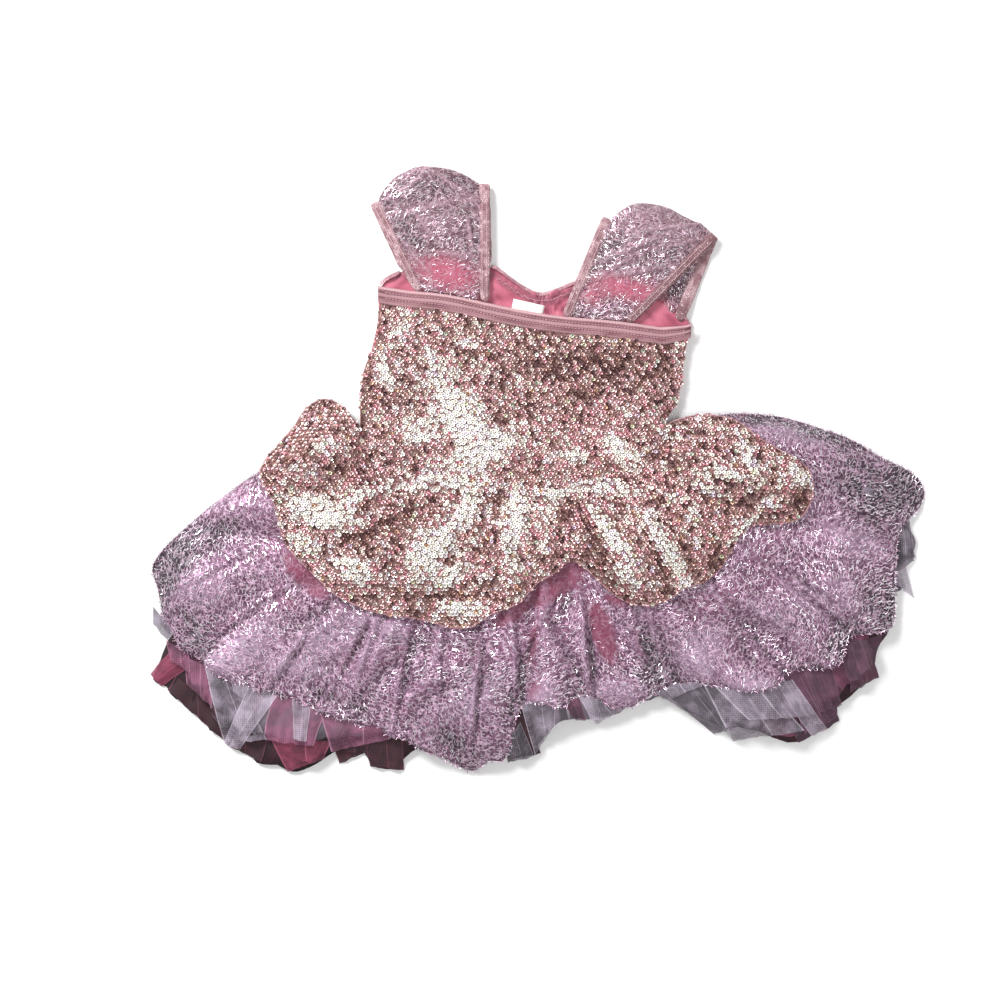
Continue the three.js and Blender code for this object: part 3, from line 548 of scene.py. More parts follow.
blushPatches = ovals("""
    600 425 60 22 0 .7   520 440 12 40 0 .6   430 395 20 14 0 .5   560 475 40 8 0 .6
    385 335 14 26 0 .5   720 445 34 12 0 .7   640 400 40 12 20 .5   690 520 30 12 0 .5
    490 340 26 10 0 .4   375 440 16 26 0 .6   580 510 12 26 0 .5
""")

# Where the net looks rosier, darker with painted shade and paler with painted highlights, as seen in the
# photograph, in its pixels.
netRosy = ovals("""
    308 574 34 12 -45 1   558 582 42 15 36 1   602 632 36 12 -72 1   616 599 14 6 -10 1
    770 545 34 12 60 .35   512 612 26 9 30 .9   345 612 34 8 -25 .4   722 598 40 14 30 .4
    275 540 14 22 0 .4   640 645 34 7 -70 .5   532 642 34 7 84 .6   450 650 50 10 -10 .25
    292 600 20 8 -40 .5   535 690 14 8 70 .8   400 705 14 6 -20 .5   690 600 24 6 15 .5
    360 650 44 20 10 .3
""")
netDark = ovals("""
    168 585 46 12 75 .7   905 478 24 18 -40 .9   800 432 70 8 -12 .7   868 470 40 9 -20 .6
    652 660 36 9 -72 .8   888 610 40 12 70 .7   210 545 40 12 40 .4   196 630 30 8 -60 .4
    430 640 60 8 -8 .4   455 740 40 12 -25 .4   516 690 30 6 80 .5   590 655 40 5 -75 .5
    670 690 26 8 10 .6   835 640 30 10 55 .4   340 700 44 7 -20 .35   760 420 26 8 0 .6
    400 690 40 6 70 .35   300 640 40 5 60 .25   560 610 30 5 60 .4   740 640 40 5 -70 .25
    470 700 44 40 0 .2   178 560 52 26 60 .45   880 490 52 34 -20 .5   800 436 80 13 -14 .4
    870 606 40 18 70 .45   580 690 30 30 0 .2   656 680 22 30 0 .35   430 590 50 8 -10 .4
""")
netPale = ovals("""
    245 650 44 20 30 .7   300 665 40 12 -10 .5   770 500 40 22 -10 .5   850 540 40 16 -20 .5
    700 650 36 22 60 .6   760 690 40 14 -25 .7   380 625 50 10 -15 .5   450 600 60 8 10 .3
    210 590 26 20 0 .4   620 690 30 12 0 .5   540 700 24 14 60 .5   470 700 40 16 40 .4
    340 640 50 24 0 .45   810 600 44 26 0 .4   780 430 44 12 -10 .35
""")

netCreases = ovals("""
    518 690 66 4 -86 1   476 690 60 3.5 84 .7   560 650 50 4 -62 .9   586 652 48 4 -85 1
    642 600 56 3 12 .9   632 640 34 3 -48 .9   660 650 50 4 -72 1   250 612 60 4 35 .8
    292 655 56 4 55 .9   342 668 50 4 62 .9   402 676 56 4 80 .9   735 620 66 4 -52 .9
    792 590 66 4 -40 .9   832 525 66 4 -20 .9   850 470 56 4 -14 .8   704 660 46 4 -66 .8
    768 662 52 4 -50 .9   215 570 50 4 28 .8   440 655 50 4 88 .7   820 600 60 4 -36 .8
    320 690 40 4 48 .7   372 640 50 4 70 .7   790 440 50 4 -10 .8   540 620 34 3 60 .8
""")

# The same for the two straps, and the folds across them.
strapRosy = ovals("447 274 36 19 -15 1   628 290 46 13 -12 1   592 296 14 10 0 .8   655 305 20 10 0 .9")
strapDark = ovals("""
    425 190 40 12 12 .8   610 246 16 8 0 .9   476 238 5 20 0 .8   402 222 10 18 -50 .7
    414 240 22 9 -55 .8   676 292 12 16 0 1   636 237 40 5 10 .6   656 258 30 6 10 .5
    446 218 22 9 10 .6   640 205 30 8 -20 .7   598 262 10 20 -20 .7   430 250 12 6 -50 .6
""")
strapPale = ovals("""
    430 209 30 2.2 14 1   470 202 14 2.2 -6 .9   470 236 2.4 16 10 1   443 222 20 7 10 .5
    424 226 26 2 -52 .9   660 230 40 2.2 6 1   640 246 46 2.4 22 .9   648 214 34 8 5 .4
    625 262 30 2.2 30 .7   672 246 30 2.2 12 .8   460 256 22 2.2 -8 .8   420 262 20 2 -50 .7
    452 186 30 1.8 -32 .8   410 188 16 1.8 40 .7   636 272 46 2 8 .8   600 246 20 2 62 .6
    660 234 34 18 -10 .35
""")

# gathers: how many small folds spring from the seam; depth and swell: how deep they are there and further
# out. The layers are in the order in which they lie on one another.
skirtLooks = {
    "peplum_front": ("sequinCover", "sequins", 1, 22, 0.2, 0.5),
    "net_front": ("net", "net", 1, 30, 0.5, 1.5),
    "white_tulle_front": ("white", "white_tulle", 2, 38, 0.3, 1.6),
    "pink_tulle_front": ("pink", "pink_tulle", 2, 44, 0.3, 1.6),
    "rose_tulle_front": ("rose", "rose_tulle", 2, 36, 0.3, 1.8),
    "rose_tulle_back": ("rose", "rose_tulle", 2, 40, 0.3, 2.2),
    "pink_tulle_back": ("pink", "pink_tulle", 2, 46, 0.3, 2.4),
    "white_tulle_back": ("white", "white_tulle", 2, 42, 0.3, 2.4),
    "net_back": ("net", "net", 3, 34, 0.6, 3.4),
    "peplum_back": ("sequinGround", "sequins", 3, 22, 0.9, 2.0),
}
lookNames = ("finish", "slot", "levels", "gathers", "depth", "swell")
skirtLooks = {node: dict(zip(lookNames, look)) for node, look in skirtLooks.items()}
skirtLooks["net_back"].update(relief=(netPale, netDark), creases=netCreases)
skirtLooks["peplum_back"].update(relief=(shinePatches, shadePatches))


# How high the skirt's seen ridges and creases stand, how far a crease's valley lies beside it and how far off
# the floor everything stays, in mm.
skirtFolds = {"relief": 2.6, "crease": 4.2, "beside": 2.6, "lowest": 0.7}


def gathered(mesh, look, seed):
    # Raises small folds that fan out from the seam, wandering and fading as they go.
    points = meshPoints(mesh)
    degrees, past = polar(points)
    wander = noiseAt(points, 0.09, seed)
    count = look["gathers"]
    turn = (degrees + 7 * wander) / 180 * math.pi
    ripple = np.sin(count * turn + seed) + 0.6 * np.sin(1.7 * count * turn + 2 * seed + 3 * wander)
    crease = 1 - 2 * np.abs(np.sin(0.37 * count * turn + seed)) ** 0.7
    near = look["depth"] * smoothstep(0, 0.01, past) * (1 - smoothstep(0.03, 0.09, past))
    far = look["swell"] * smoothstep(0.02, 0.12, past) * (0.55 + 0.45 * noiseAt(points, 0.05, seed + 5))
    lift = (near * ripple + far * (0.5 * ripple + 0.6 * crease)) * mm
    if "relief" in look:
        ridges, valleys = look["relief"]
        lift += skirtFolds["relief"] * mm * (patchAt(ridges, points) - 0.8 * patchAt(valleys, points))
    if "creases" in look:
        beside = patchAt(look["creases"], points - (skirtFolds["beside"] * mm, 0, 0))
        lift += skirtFolds["crease"] * mm * (patchAt(look["creases"], points) - beside)
    rise = np.maximum(points[:, 2] + lift, skirtFolds["lowest"] * mm)
    points[:, 2] = np.where(past > 0.001, rise, points[:, 2])
    if look["slot"] != "sequins":
        cornered(points, degrees, past, seed, 2.4 if look["finish"] == "net" else 5)
    setPoints(mesh, points)
    clothMap(mesh, degrees / 180 * math.pi * 0.2, past)
    return points, degrees, past, lift


def cornered(points, degrees, past, seed, size):
    # Pulls the hem of stiff tulle into corners, a fold to each.
    steps = np.arange(90, 451)
    reach = np.array([past[np.abs(degrees - step) < 1.5].max(initial=0.01) for step in steps])
    share = past / np.interp(degrees, steps, reach)
    phase = degrees / 5.2 + 1.2 * np.sin(degrees / 11 + seed)
    corner = 2 * np.abs(phase - np.floor(phase) - 0.5)
    pull = (corner - 0.75) * size * mm * smoothstep(0.6, 1, share)
    turn = np.radians(degrees)
    points[:, 0] += np.cos(turn) * pull
    points[:, 1] += np.sin(turn) * pull
    points[:, 2] += 0.3 * size * mm * corner * smoothstep(0.5, 1, share)


def keptAbove(mesh):
    # Lifts a layer off those below it, then adds it to the heap.
    points = meshPoints(mesh)
    if heap["faces"]:
        below = BVHTree.FromPolygons(heap["points"], heap["faces"])
        for point in points:
            place, _ = dropOnto(below, point[0], point[1])
            if place is not None:
                point[2] = max(point[2], place.z + clearance)
        setPoints(mesh, points)
    addToHeap(mesh)


def addToHeap(mesh):
    heap["faces"] += [[i + len(heap["points"]) for i in p.vertices] for p in mesh.polygons]
    heap["points"] += [v.co.copy() for v in mesh.vertices]


def flaps(rows):
    return table("ax ay bx by cx cy dx dy pleats shade", rows)


# Folds of tulle that come out from under the net: its two corners there, then the two at the hem, in the
# photograph's pixels, how many pleats each has and how shaded it lies.
tulleFolds = {
    "rose": flaps("""
        172 650 194 664 162 686 150 674 1 .1   270 736 332 740 324 758 288 772 2 .15
        517 704 529 710 540 753 511 757 2 .9   842 638 868 640 879 677 850 692 2 .4
        790 726 836 704 839 721 798 743 2 .8   362 728 402 720 404 770 370 766 2 .9
        176 676 214 700 224 740 168 690 2 .95   214 704 268 738 262 762 226 744 2 .9
        858 640 882 634 874 664 864 668 1 .6   334 748 372 736 366 752 340 764 1 .85
    """),
    "pink": flaps("""
        186 656 214 668 214 706 187 684 2 .35   276 686 330 702 314 745 264 738 5 .1
        320 706 396 706 390 738 332 751 3 0   776 676 808 662 839 717 804 732 6 .2
        798 660 830 666 841 705 818 711 3 .3   561 698 579 696 585 719 576 721 2 .6
        226 664 268 684 254 722 232 716 2 .5   836 648 858 638 868 668 848 682 2 .45
        166 640 190 652 192 672 172 660 1 .2   744 688 790 682 800 716 762 722 4 .15
    """),
    "white": flaps("""
        206 660 236 668 268 739 224 741 3 .55   252 682 284 687 240 749 224 743 1 0
        518 694 556 684 554 724 535 755 3 .45   568 680 606 686 624 707 596 724 3 .35
        660 690 708 678 732 728 714 734 2 .85   700 680 764 682 802 729 732 741 5 .5
        698 670 782 678 806 715 746 718 6 .1   880 536 902 552 914 598 904 591 1 .3
        876 512 900 516 916 557 898 563 2 .8   890 510 909 516 914 561 897 573 1 .7
        153 606 174 632 168 641 153 623 1 .6   294 690 314 694 307 740 295 738 1 .1
        774 682 790 678 826 729 810 736 1 .2   570 672 590 678 602 719 590 718 1 .05
        505 742 520 720 534 755 508 762 1 .9   640 676 690 664 700 684 664 700 2 .4
        884 566 898 574 908 590 893 584 1 .2   232 664 262 676 250 700 236 690 1 .3
    """),
}
clearance = 0.4 * mm
foldGrid = {"across": 24, "down": 16, "pleatHeight": 1.4, "ragged": 1.3, "cutWidth": 0.05}


def tulleFold(fold, trees):
    # A pleated flap between its four corners, lying on whatever is below it.
    a, b, c, d = (fromPhoto(fold[k + "x"], fold[k + "y"]) for k in "abcd")
    columns, rows = foldGrid["across"], foldGrid["down"]
    points, maps = [], []
    for i in range(rows):
        down = i / (rows - 1)
        for j in range(columns):
            across = j / (columns - 1)
            place = (a.lerp(b, across)).lerp(d.lerp(c, across), down)
            ragged = foldGrid["ragged"] * mm * down
            place += (d + c - a - b).normalized() * ragged * noise.noise(place / 0.005)
            place += (b - a).normalized() * ragged * noise.noise(Vector((down * 2.5, fold["ax"], fold["ay"])))
            below = [dropOnto(tree, place.x, place.y)[0] for tree in trees]
            pleat = 1 - 2 * abs((across * fold["pleats"]) % 1 - 0.5)
            height = max([hit.z for hit in below if hit], default=clearance) + clearance
            height += foldGrid["pleatHeight"] * mm * pleat * (0.3 + 0.7 * down)
            points.append([place.x, place.y, height])
            maps.append((across, down))
    heights = np.array(points)[:, 2].reshape(rows, columns)
    for _ in range(3):
        padded = np.pad(heights, ((1, 1), (0, 0)), mode="edge")
        heights = np.maximum(heights, (padded[:-2] + padded[2:]) / 2)
    for point, height in zip(points, heights.ravel()):
        point[2] = height
    return points, gridFaces(rows, columns), maps


def tulleFoldPiece(colour):
    trees = [BVHTree.FromPolygons(heap["points"], heap["faces"])]
    points, faces, maps, shades = [], [], [], []
    for fold in tulleFolds[colour]:
        some, quads, flat = tulleFold(fold, trees)
        trees.append(BVHTree.FromPolygons(some, quads))
        faces += [[i + len(points) for i in quad] for quad in quads]
        points += some
        maps += flat
        shades += [fold["shade"]] * len(some)
    mesh = meshFrom(points, faces)
    flat = np.array(maps)
    clothMap(mesh, flat[:, 0], flat[:, 1])
    paint(mesh, "shade", shades)
    # Pink and rose folds turn a darker grey mauve towards the right.
    greyer = 0.0 if colour == "white" else 0.62
    paint(mesh, "dusk", greyer * smoothstep(0.16, 0.2, meshPoints(mesh)[:, 0]))
    piece = addPiece(colour + "_tulle_folds", mesh, colour + "Fold", colour + "_tulle")
    colour + "_tulle_back"
    addToHeap(mesh)


print("skirt layers")
skirt = {}
heap = {"points": [], "faces": []}
for seed, (node, look) in enumerate(skirtLooks.items()):
    if node == "net_back":
        print("tulle folds")
        for colour in tulleFolds:
            tulleFoldPiece(colour)
    mesh = cloth(node, look["levels"])
    points, degrees, past, lift = gathered(mesh, look, 1.3 * seed)
    keptAbove(mesh)
    if look["finish"] == "net":
        # The net's paint: painted shade in its valleys, its dark patches and further out towards the hem;
        # painted highlights on its ridges and pale patches.
        tones = lift / (2.5 * mm)
        patchy = 0.5 + 0.5 * noiseAt(points, 0.05, 11)
        rosy, dark, pale = (patchAt(patches, points) for patches in (netRosy, netDark, netPale))
        near = 1 - smoothstep(0.07, 0.17, past)
        rosy = 0.6 * rosy + 0.6 * smoothstep(0.42, 0.6, rosy)
        paint(mesh, "blush", np.clip(rosy + 0.35 * near * patchy, 0, 1))
        paint(mesh, "painted_shade", np.clip(dark + 0.35 * patchy * smoothstep(0.1, 0.2, past) - 0.45 * tones, 0, 1))
        paint(mesh, "painted_highlight", np.clip(pale * (0.5 + 0.6 * patchy) + 0.3 * tones, 0, 0.85))
    piece = addPiece(node + "_cloth", mesh, look["finish"], look["slot"], node)
    skirt[node] = piece
    thicken(piece, 0.3 * mm)

bodiceFrontMesh = cloth("bodice_front", 2, False)
bodiceFront = addPiece("bodice_front_cloth", bodiceFrontMesh, "sequinCover", "sequins", "bodice_front")


# Foil threads woven into the net

netThreads = {"length": (2.0, 4.4), "width": (0.28, 0.5), "spread": 24, "sway": 2.6, "spacing": 2.5,
              "stray": 0.6, "curl": 45, "raised": (0.15, 0.7)}
threadTints = np.array([
    rgb(255, 248, 255), rgb(248, 224, 242), rgb(230, 190, 216), rgb(200, 152, 182), rgb(84, 54, 78)])
threadOdds = (0.34, 0.22, 0.14, 0.1, 0.2)
lowest = 0.3 * mm


def scatterThreads(tree, places, bright, fineness=1.0):
    # Short curled threads along the courses of the knit, which run round the waist and sway; bright is how
    # often one catches the light.
    quads, colours = [], []
    for (x, y), chance in zip(places, bright):
        point, normal = dropOnto(tree, x, y)
        if point is None:
            continue
        course = math.atan2(y - waistCentre.y, x - waistCentre.x) + math.pi / 2
        turn = course + netThreads["sway"] * noise.noise(Vector((x / 0.06, y / 0.06, 3)))
        turn += math.radians(draw.normal(0, netThreads["spread"]))
        length = draw.uniform(*netThreads["length"]) * mm / 2
        width = draw.uniform(*netThreads["width"]) * mm / 2 * fineness
        base = point + normal * draw.uniform(*netThreads["raised"]) * mm
        base.z = max(base.z, lowest)
        pick = 0 if draw.uniform() < chance else draw.choice(len(threadTints), p=threadOdds)
        tint = threadTints[pick]
        bend = math.radians(draw.normal(0, netThreads["curl"]))
        for part in (turn, turn + bend):
            run = Vector((math.cos(part), math.sin(part), 0))
            run = (run - normal * run.dot(normal)).normalized()
            side = normal.cross(run) * width
            tip = base + run * length + normal * draw.normal(0, 0.12) * mm
            tip.z = max(tip.z, lowest)
            quads.append(ribbon(base, tip, side))
            colours.append(tint)
            base = tip
    return quadMesh(np.array(quads), np.array(colours))


def scatterPlaces(low, high, spacing):
    # A jittered grid of places over a box, seen from above.
    xs = np.arange(low[0], high[0], spacing)
    ys = np.arange(low[1], high[1], spacing)
    grid = np.stack(np.meshgrid(xs, ys), axis=-1).reshape(-1, 2)
    return grid + draw.uniform(-netThreads["stray"], netThreads["stray"], grid.shape) * spacing


print("net threads")
netTree = surfaceTree(skirt["net_back"].data)
peplumTree = surfaceTree(skirt["peplum_back"].data)
places = scatterPlaces(*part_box("net_back"), netThreads["spacing"] * mm)
shown = np.array([place for place in places if dropOnto(peplumTree, *place)[0] is None])
rosy = patchAt(netRosy, shown)
bare = 0.5 * rosy + 0.5 * smoothstep(0.4, 0.6, rosy) + 0.4 * patchAt(netPale, shown)
shown = shown[draw.uniform(size=len(shown)) > bare]
threads = scatterThreads(netTree, shown, 0.06 + 0.9 * patchAt(netDark, shown))
addPiece("net_threads", threads, "foil", "net")


def boundaryRuns(mesh):
    # Open edges of a sheet as ordered runs of points.
    shape = bmesh.new()
    shape.from_mesh(mesh)
    edges = dict.fromkeys(edge for edge in shape.edges if edge.is_boundary)
    runs = []
    while edges:
        edge, _ = edges.popitem()
        start, at = edge.verts
        run = [start.co.copy(), at.co.copy()]
        while at != start:
            following = next((e for e in at.link_edges if e in edges), None)
            if following is None:
                break
            del edges[following]
            at = following.other_vert(at)
            run.append(at.co.copy())
        runs.append(run)
    shape.free()
    return runs


def hemPoints(mesh, clearOfSeam):
    run = max(boundaryRuns(mesh), key=len)
    points = np.array([tuple(p) for p in run])
    _, past = polar(points)
    return points[past > clearOfSeam]


hemThreads = {"length": 2.8, "step": 1.4, "width": (0.1, 0.22), "reach": (0.3, 1), "turn": 0.9, "rise": 0.25}


def ravelledHem(mesh):
    # Loose threads along the cut edge of the net.
    points, length = hemPoints(mesh, 20 * mm), hemThreads["length"] * mm
    quads, colours = [], []
    for start, end in zip(points[:-1], points[1:]):
        gap = np.linalg.norm(end - start)
        if gap > 0.02:
            continue
        for _ in range(max(1, round(gap / (hemThreads["step"] * mm)))):
            base = Vector(start + (end - start) * draw.uniform())
            out = Vector((base.x - waistCentre.x, base.y - waistCentre.y, 0)).normalized()
            turn, rise = draw.normal(0, hemThreads["turn"]), draw.normal(0, hemThreads["rise"])
            run = Vector((out.x * math.cos(turn) - out.y * math.sin(turn),
                          out.x * math.sin(turn) + out.y * math.cos(turn), rise)).normalized()
            side = Vector((-run.y, run.x, 0)) * draw.uniform(*hemThreads["width"]) * mm
            back, tip = base - run * length * 0.5, base + run * length * draw.uniform(*hemThreads["reach"])
            tip.z = max(tip.z, clearance)
            quads.append(ribbon(back, tip, side))
            colours.append(threadTints[draw.integers(1, len(threadTints))])
    return quadMesh(np.array(quads), np.array(colours))


addPiece("net_ravelled_hem", ravelledHem(skirt["net_back"].data), "foil", "net")


def tube(points, radius, sides=6):
    # A cord-like roll along a line of points.
    rings = []
    for i, point in enumerate(points):
        ahead = points[min(i + 1, len(points) - 1)] - points[max(i - 1, 0)]
        run = Vector(ahead).normalized()
        side = run.cross(upward).normalized()
        up = side.cross(run)
        for k in range(sides):
            turn = 2 * math.pi * k / sides
            rings.append(Vector(point) + (side * math.cos(turn) + up * math.sin(turn)) * radius)
    faces = ringFaces(len(points), sides)
    faces.append(tuple(reversed(range(sides))))
    faces.append(tuple(range((len(points) - 1) * sides, len(points) * sides)))
    return meshFrom(rings, faces)


hemLine = hemPoints(skirt["peplum_back"].data, 12 * mm)
gaps = np.linalg.norm(np.roll(hemLine, -1, axis=0) - hemLine, axis=1)
hemLine = np.roll(hemLine, -int(gaps.argmax()) - 1, axis=0)
addPiece("peplum_rolled_hem", tube(hemLine, 0.6 * mm), "hem", "sequins")


# Sequins

sequin = {"radius": 1.72, "hole": 0.56, "bend": 1.15, "depth": 0.4, "sides": 8, "spacing": 3.3, "tilt": 8,
          "overhang": 2.4, "stray": 0.12}
# How the hole, bend and rim rings scale a sequin's tint: painted shade in the hole and at the rim, less of it
# on a lit sequin.
sequinRings = {"plain": (0.28, 1.04, 0.78), "lit": (0.8, 1.0, 0.95)}
sequinTints = {
    "dark": [rgb(98, 68, 64), rgb(122, 90, 82), rgb(108, 76, 80), rgb(80, 56, 58)],
    "brown": [rgb(184, 152, 144), rgb(196, 162, 158), rgb(168, 136, 134), rgb(180, 136, 128)],
    "pink": [rgb(242, 190, 190), rgb(232, 160, 170), rgb(246, 204, 198), rgb(222, 172, 178)],
    "pale": [rgb(252, 234, 224), rgb(246, 230, 226), rgb(255, 242, 226), rgb(244, 230, 234)],
    "white": [rgb(252, 250, 243), rgb(252, 247, 234), rgb(246, 250, 242), rgb(248, 242, 248)],
    "play": [rgb(236, 236, 196), rgb(250, 214, 184), rgb(216, 230, 208), rgb(230, 206, 230),
             rgb(222, 172, 140)],
}
# The tones from dark to light, painted reflections from shade to highlight, and where a sequin stands on that
# scale: its middle, how much the patches and two sizes of noise move it, and its own glitter;
# play: how often one shows another colour.
sequinScale = ("dark", "brown", "pink", "pale", "white")
sequinTone = {"middle": 0.475, "shine": 0.72, "shade": 0.31, "broad": 0.18, "fine": 0.26, "glitter": 0.145,
              "play": 0.022, "blush": 0.5, "blushBelow": 0.74, "darkest": 0.12, "step": 0.17}


def tintsFor(places):
    # Each sequin's tone is painted light and shade: it follows the shine and shade patches, with random
    # glitter on top as painted glints.
    flat = np.column_stack([places, np.zeros(len(places))])
    shine, shade = patchAt(shinePatches, flat), patchAt(shadePatches, flat)
    tones = sequinTone["middle"] + sequinTone["shine"] * shine - sequinTone["shade"] * shade
    tones += sequinTone["broad"] * noiseAt(flat, 0.013) + sequinTone["fine"] * noiseAt(flat, 0.006)
    tones += draw.normal(0, sequinTone["glitter"], len(places))
    tints, lit = [], []
    for tone, blush in zip(tones, sequinTone["blush"] * patchAt(blushPatches, flat)):
        step = (tone - sequinTone["darkest"]) / sequinTone["step"]
        if draw.uniform() < sequinTone["play"]:
            kind = "play"
        elif tone < sequinTone["blushBelow"] and draw.uniform() < blush:
            kind = "pink"
        else:
            kind = sequinScale[int(min(max(step, 0), len(sequinScale) - 1))]
        choice = sequinTints[kind]
        tints.append(np.array(choice[draw.integers(len(choice))]) * draw.uniform(0.86, 1.06))
        lit.append(float(kind == "white"))
    return tints, lit


def sewSequins(tree, places, beyond=0.0):
    # beyond: how far below the cloth's lower edge sequins still hang from it.
    sides = sequin["sides"]
    rings = [(sequin["hole"], 0.0), (sequin["bend"], 0.12), (sequin["radius"], sequin["depth"])]
    points, faces, tints, glow = [], [], [], []
    _, past = polar(np.array(places))
    raised = np.where(past > 0, 1 - smoothstep(0.001, 0.006, past), 0) * mm
    for (x, y), rise, tint, lit in zip(places, raised, *tintsFor(np.array(places))):
        point, normal = dropOnto(tree, x, y)
        if point is None or normal.z < 0.25:
            near, _ = dropOnto(tree, x, y + beyond)
            if near is None or beyond == 0:
                continue
            point, normal = Vector((x, y, near.z)), upward
        lean = math.radians(sequin["tilt"])
        facing = (normal + Vector((draw.normal(0, lean), draw.normal(0, lean), 0))).normalized()
        side = facing.orthogonal().normalized()
        up = facing.cross(side)
        start = len(points)
        base = point + normal * (draw.uniform(0.3, 0.6) * mm + rise)
        spin = draw.uniform(0, 2 * math.pi)
        for radius, height in rings:
            for k in range(sides):
                turn = spin + 2 * math.pi * k / sides
                out = (side * math.cos(turn) + up * math.sin(turn)) * radius * mm
                points.append(base + out + facing * height * mm)
        faces += [(a, d, c, b) for a, b, c, d in ringFaces(len(rings), sides, start)]
        for share in sequinRings["lit" if lit else "plain"]:
            tints.extend([tint * share] * sides)
        glow.extend([lit] * (sides * len(rings)))
    mesh = meshFrom(points, faces, smooth=False)
    tintPoints(mesh, tints)
    paint(mesh, "lit", glow)
    return mesh


def hexPlaces(low, high, spacing):
    rowStep = spacing * math.sqrt(3) / 2
    places = []
    for row, y in enumerate(np.arange(low[1], high[1], rowStep)):
        for x in np.arange(low[0] + (row % 2) * spacing / 2, high[0], spacing):
            places.append((x, y))
    return np.array(places) + draw.normal(0, spacing * sequin["stray"], (len(places), 2))


print("bodice")
bodiceMesh = cloth("bodice_back", 3)
bodicePoints = meshPoints(bodiceMesh)
crumple = 1.6 * mm * noiseAt(bodicePoints * (1, 0.7, 1), 0.05, 2)
crumple += 0.6 * mm * noiseAt(bodicePoints, 0.018, 4)
bodicePoints[:, 2] += crumple + 0.4 * mm
setPoints(bodiceMesh, bodicePoints)
bodice = addPiece("bodice_back_cloth", bodiceMesh, "sequinGround", "sequins", "bodice_back")
thicken(bodice, 0.6 * mm)
bodiceTree = surfaceTree(bodiceMesh)

print("sequins")
spacing, overhang = sequin["spacing"] * mm, sequin["overhang"] * mm
bodicePlaces = hexPlaces(bodiceLow - Vector((0, overhang, 0)), bodiceHigh, spacing)
addPiece("bodice_sequins", sewSequins(bodiceTree, bodicePlaces, overhang), "sequins", "sequins")
peplumPlaces = [place for place in hexPlaces(*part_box("peplum_back"), spacing)
                if dropOnto(bodiceTree, *place)[0] is None]
addPiece("peplum_sequins", sewSequins(peplumTree, peplumPlaces), "sequins", "sequins")


# Lining, bindings, band and label

print("top edges")


def wrinkled(node, levels, finish, slot, depth, scale, seed):
    mesh = cloth(node, levels, False)
    points, normals = meshPoints(mesh), meshPoints(mesh, "normal")
    points += normals * (depth * mm * noiseAt(points, scale * mm, seed))[:, None]
    setPoints(mesh, points)
    return addPiece(node + "_cloth", mesh, finish, slot, node)


def edgeAt(points, xs, reach, pick=np.min):
    # Some points' edge seen from above, as heights up the picture at each place across it.
    return np.array([pick(points[np.abs(points[:, 0] - x) < reach * mm, 1]) for x in xs])


# Where the right strap's front half and the lining's corner meet, in the photograph's pixels.
cornerPatch = ovals("684 312 24 14 -50 1")
liningCorner = ovals("684 312 24 14 -50 .8   658 303 13 9 -30 1")


def movedAt(patches, points, shift):
    return points + patchAt(patches, points)[:, None] * np.array(shift) * mm


# Folds of the lining, as seen in the photograph, in its pixels.
liningCreases = ovals("""
    559 302 14 2 22 1   561 309 13 2 12 .9   554 295 13 2 34 .9   498 296 10 2 -56 .9
    506 287 11 2 -50 .7   648 314 12 3 -50 .6   670 320 10 2.5 -45 .7   404 282 10 2.5 40 .6
    550 303 8 2 60 .8   392 292 12 2.5 20 .5
""")
gatherPoint = {"x": 3, "y": 144, "folds": 11, "depth": 4.2, "fade": 34, "crease": 1.6, "swell": 0.4}
liningMesh = cloth("front_lining", 3)
liningPoints = meshPoints(liningMesh)
dx, dy = liningPoints[:, 0] - gatherPoint["x"] * mm, liningPoints[:, 1] - gatherPoint["y"] * mm
away = np.hypot(dx, dy)
ray = np.arctan2(dy, dx) * gatherPoint["folds"] + 1.5 * noiseAt(liningPoints, 0.03, 6)
folds = (0.5 + 0.5 * np.sin(ray)) * np.exp(-away / (gatherPoint["fade"] * mm)) * smoothstep(0, 0.006, away)
creased = patchAt(liningCreases, liningPoints)
swell = gatherPoint["swell"] * mm * noiseAt(liningPoints, 0.03, 9)
liningPoints[:, 2] += folds * gatherPoint["depth"] * mm + swell
beside = patchAt(liningCreases, liningPoints - (0, 2.6 * mm, 0))
liningPoints[:, 2] += gatherPoint["crease"] * mm * (beside - 0.5 * creased)
setPoints(liningMesh, movedAt(liningCorner, liningPoints, (2, 2.7, 0)))
# Painted shade, kept as crease: darker in the gathers' valleys and along the creases, with broader darker
# patches from noise.
valleys = (0.5 - 0.5 * np.sin(ray)) ** 2 * np.exp(-away / (1.3 * gatherPoint["fade"] * mm))
wide = np.clip(0.5 * noiseAt(liningPoints * (1, 0.4, 1), 0.02, 12), 0, 1)
paint(liningMesh, "crease", np.clip(0.7 * valleys + wide + creased, 0, 1))
neckPoints = meshPoints(nodes["neckline_binding"].data)
neckXs = np.linspace(neckPoints[:, 0].min(), neckPoints[:, 0].max(), 40)
belowNeck = np.interp(liningPoints[:, 0], neckXs, edgeAt(neckPoints, neckXs, 6)) - liningPoints[:, 1]
paint(liningMesh, "turning", (1 - smoothstep(0.0056, 0.0064, belowNeck)) * smoothstep(-0.001, 0, belowNeck))
lining = addPiece("front_lining_cloth", liningMesh, "jersey", "lining", "front_lining")
thicken(lining, 0.5 * mm)

for node in ("neckline_binding", "armhole_binding_left", "armhole_binding_right"):
    wrinkled(node, 3, "neckBinding", "trim", 0.25, 6, 3)

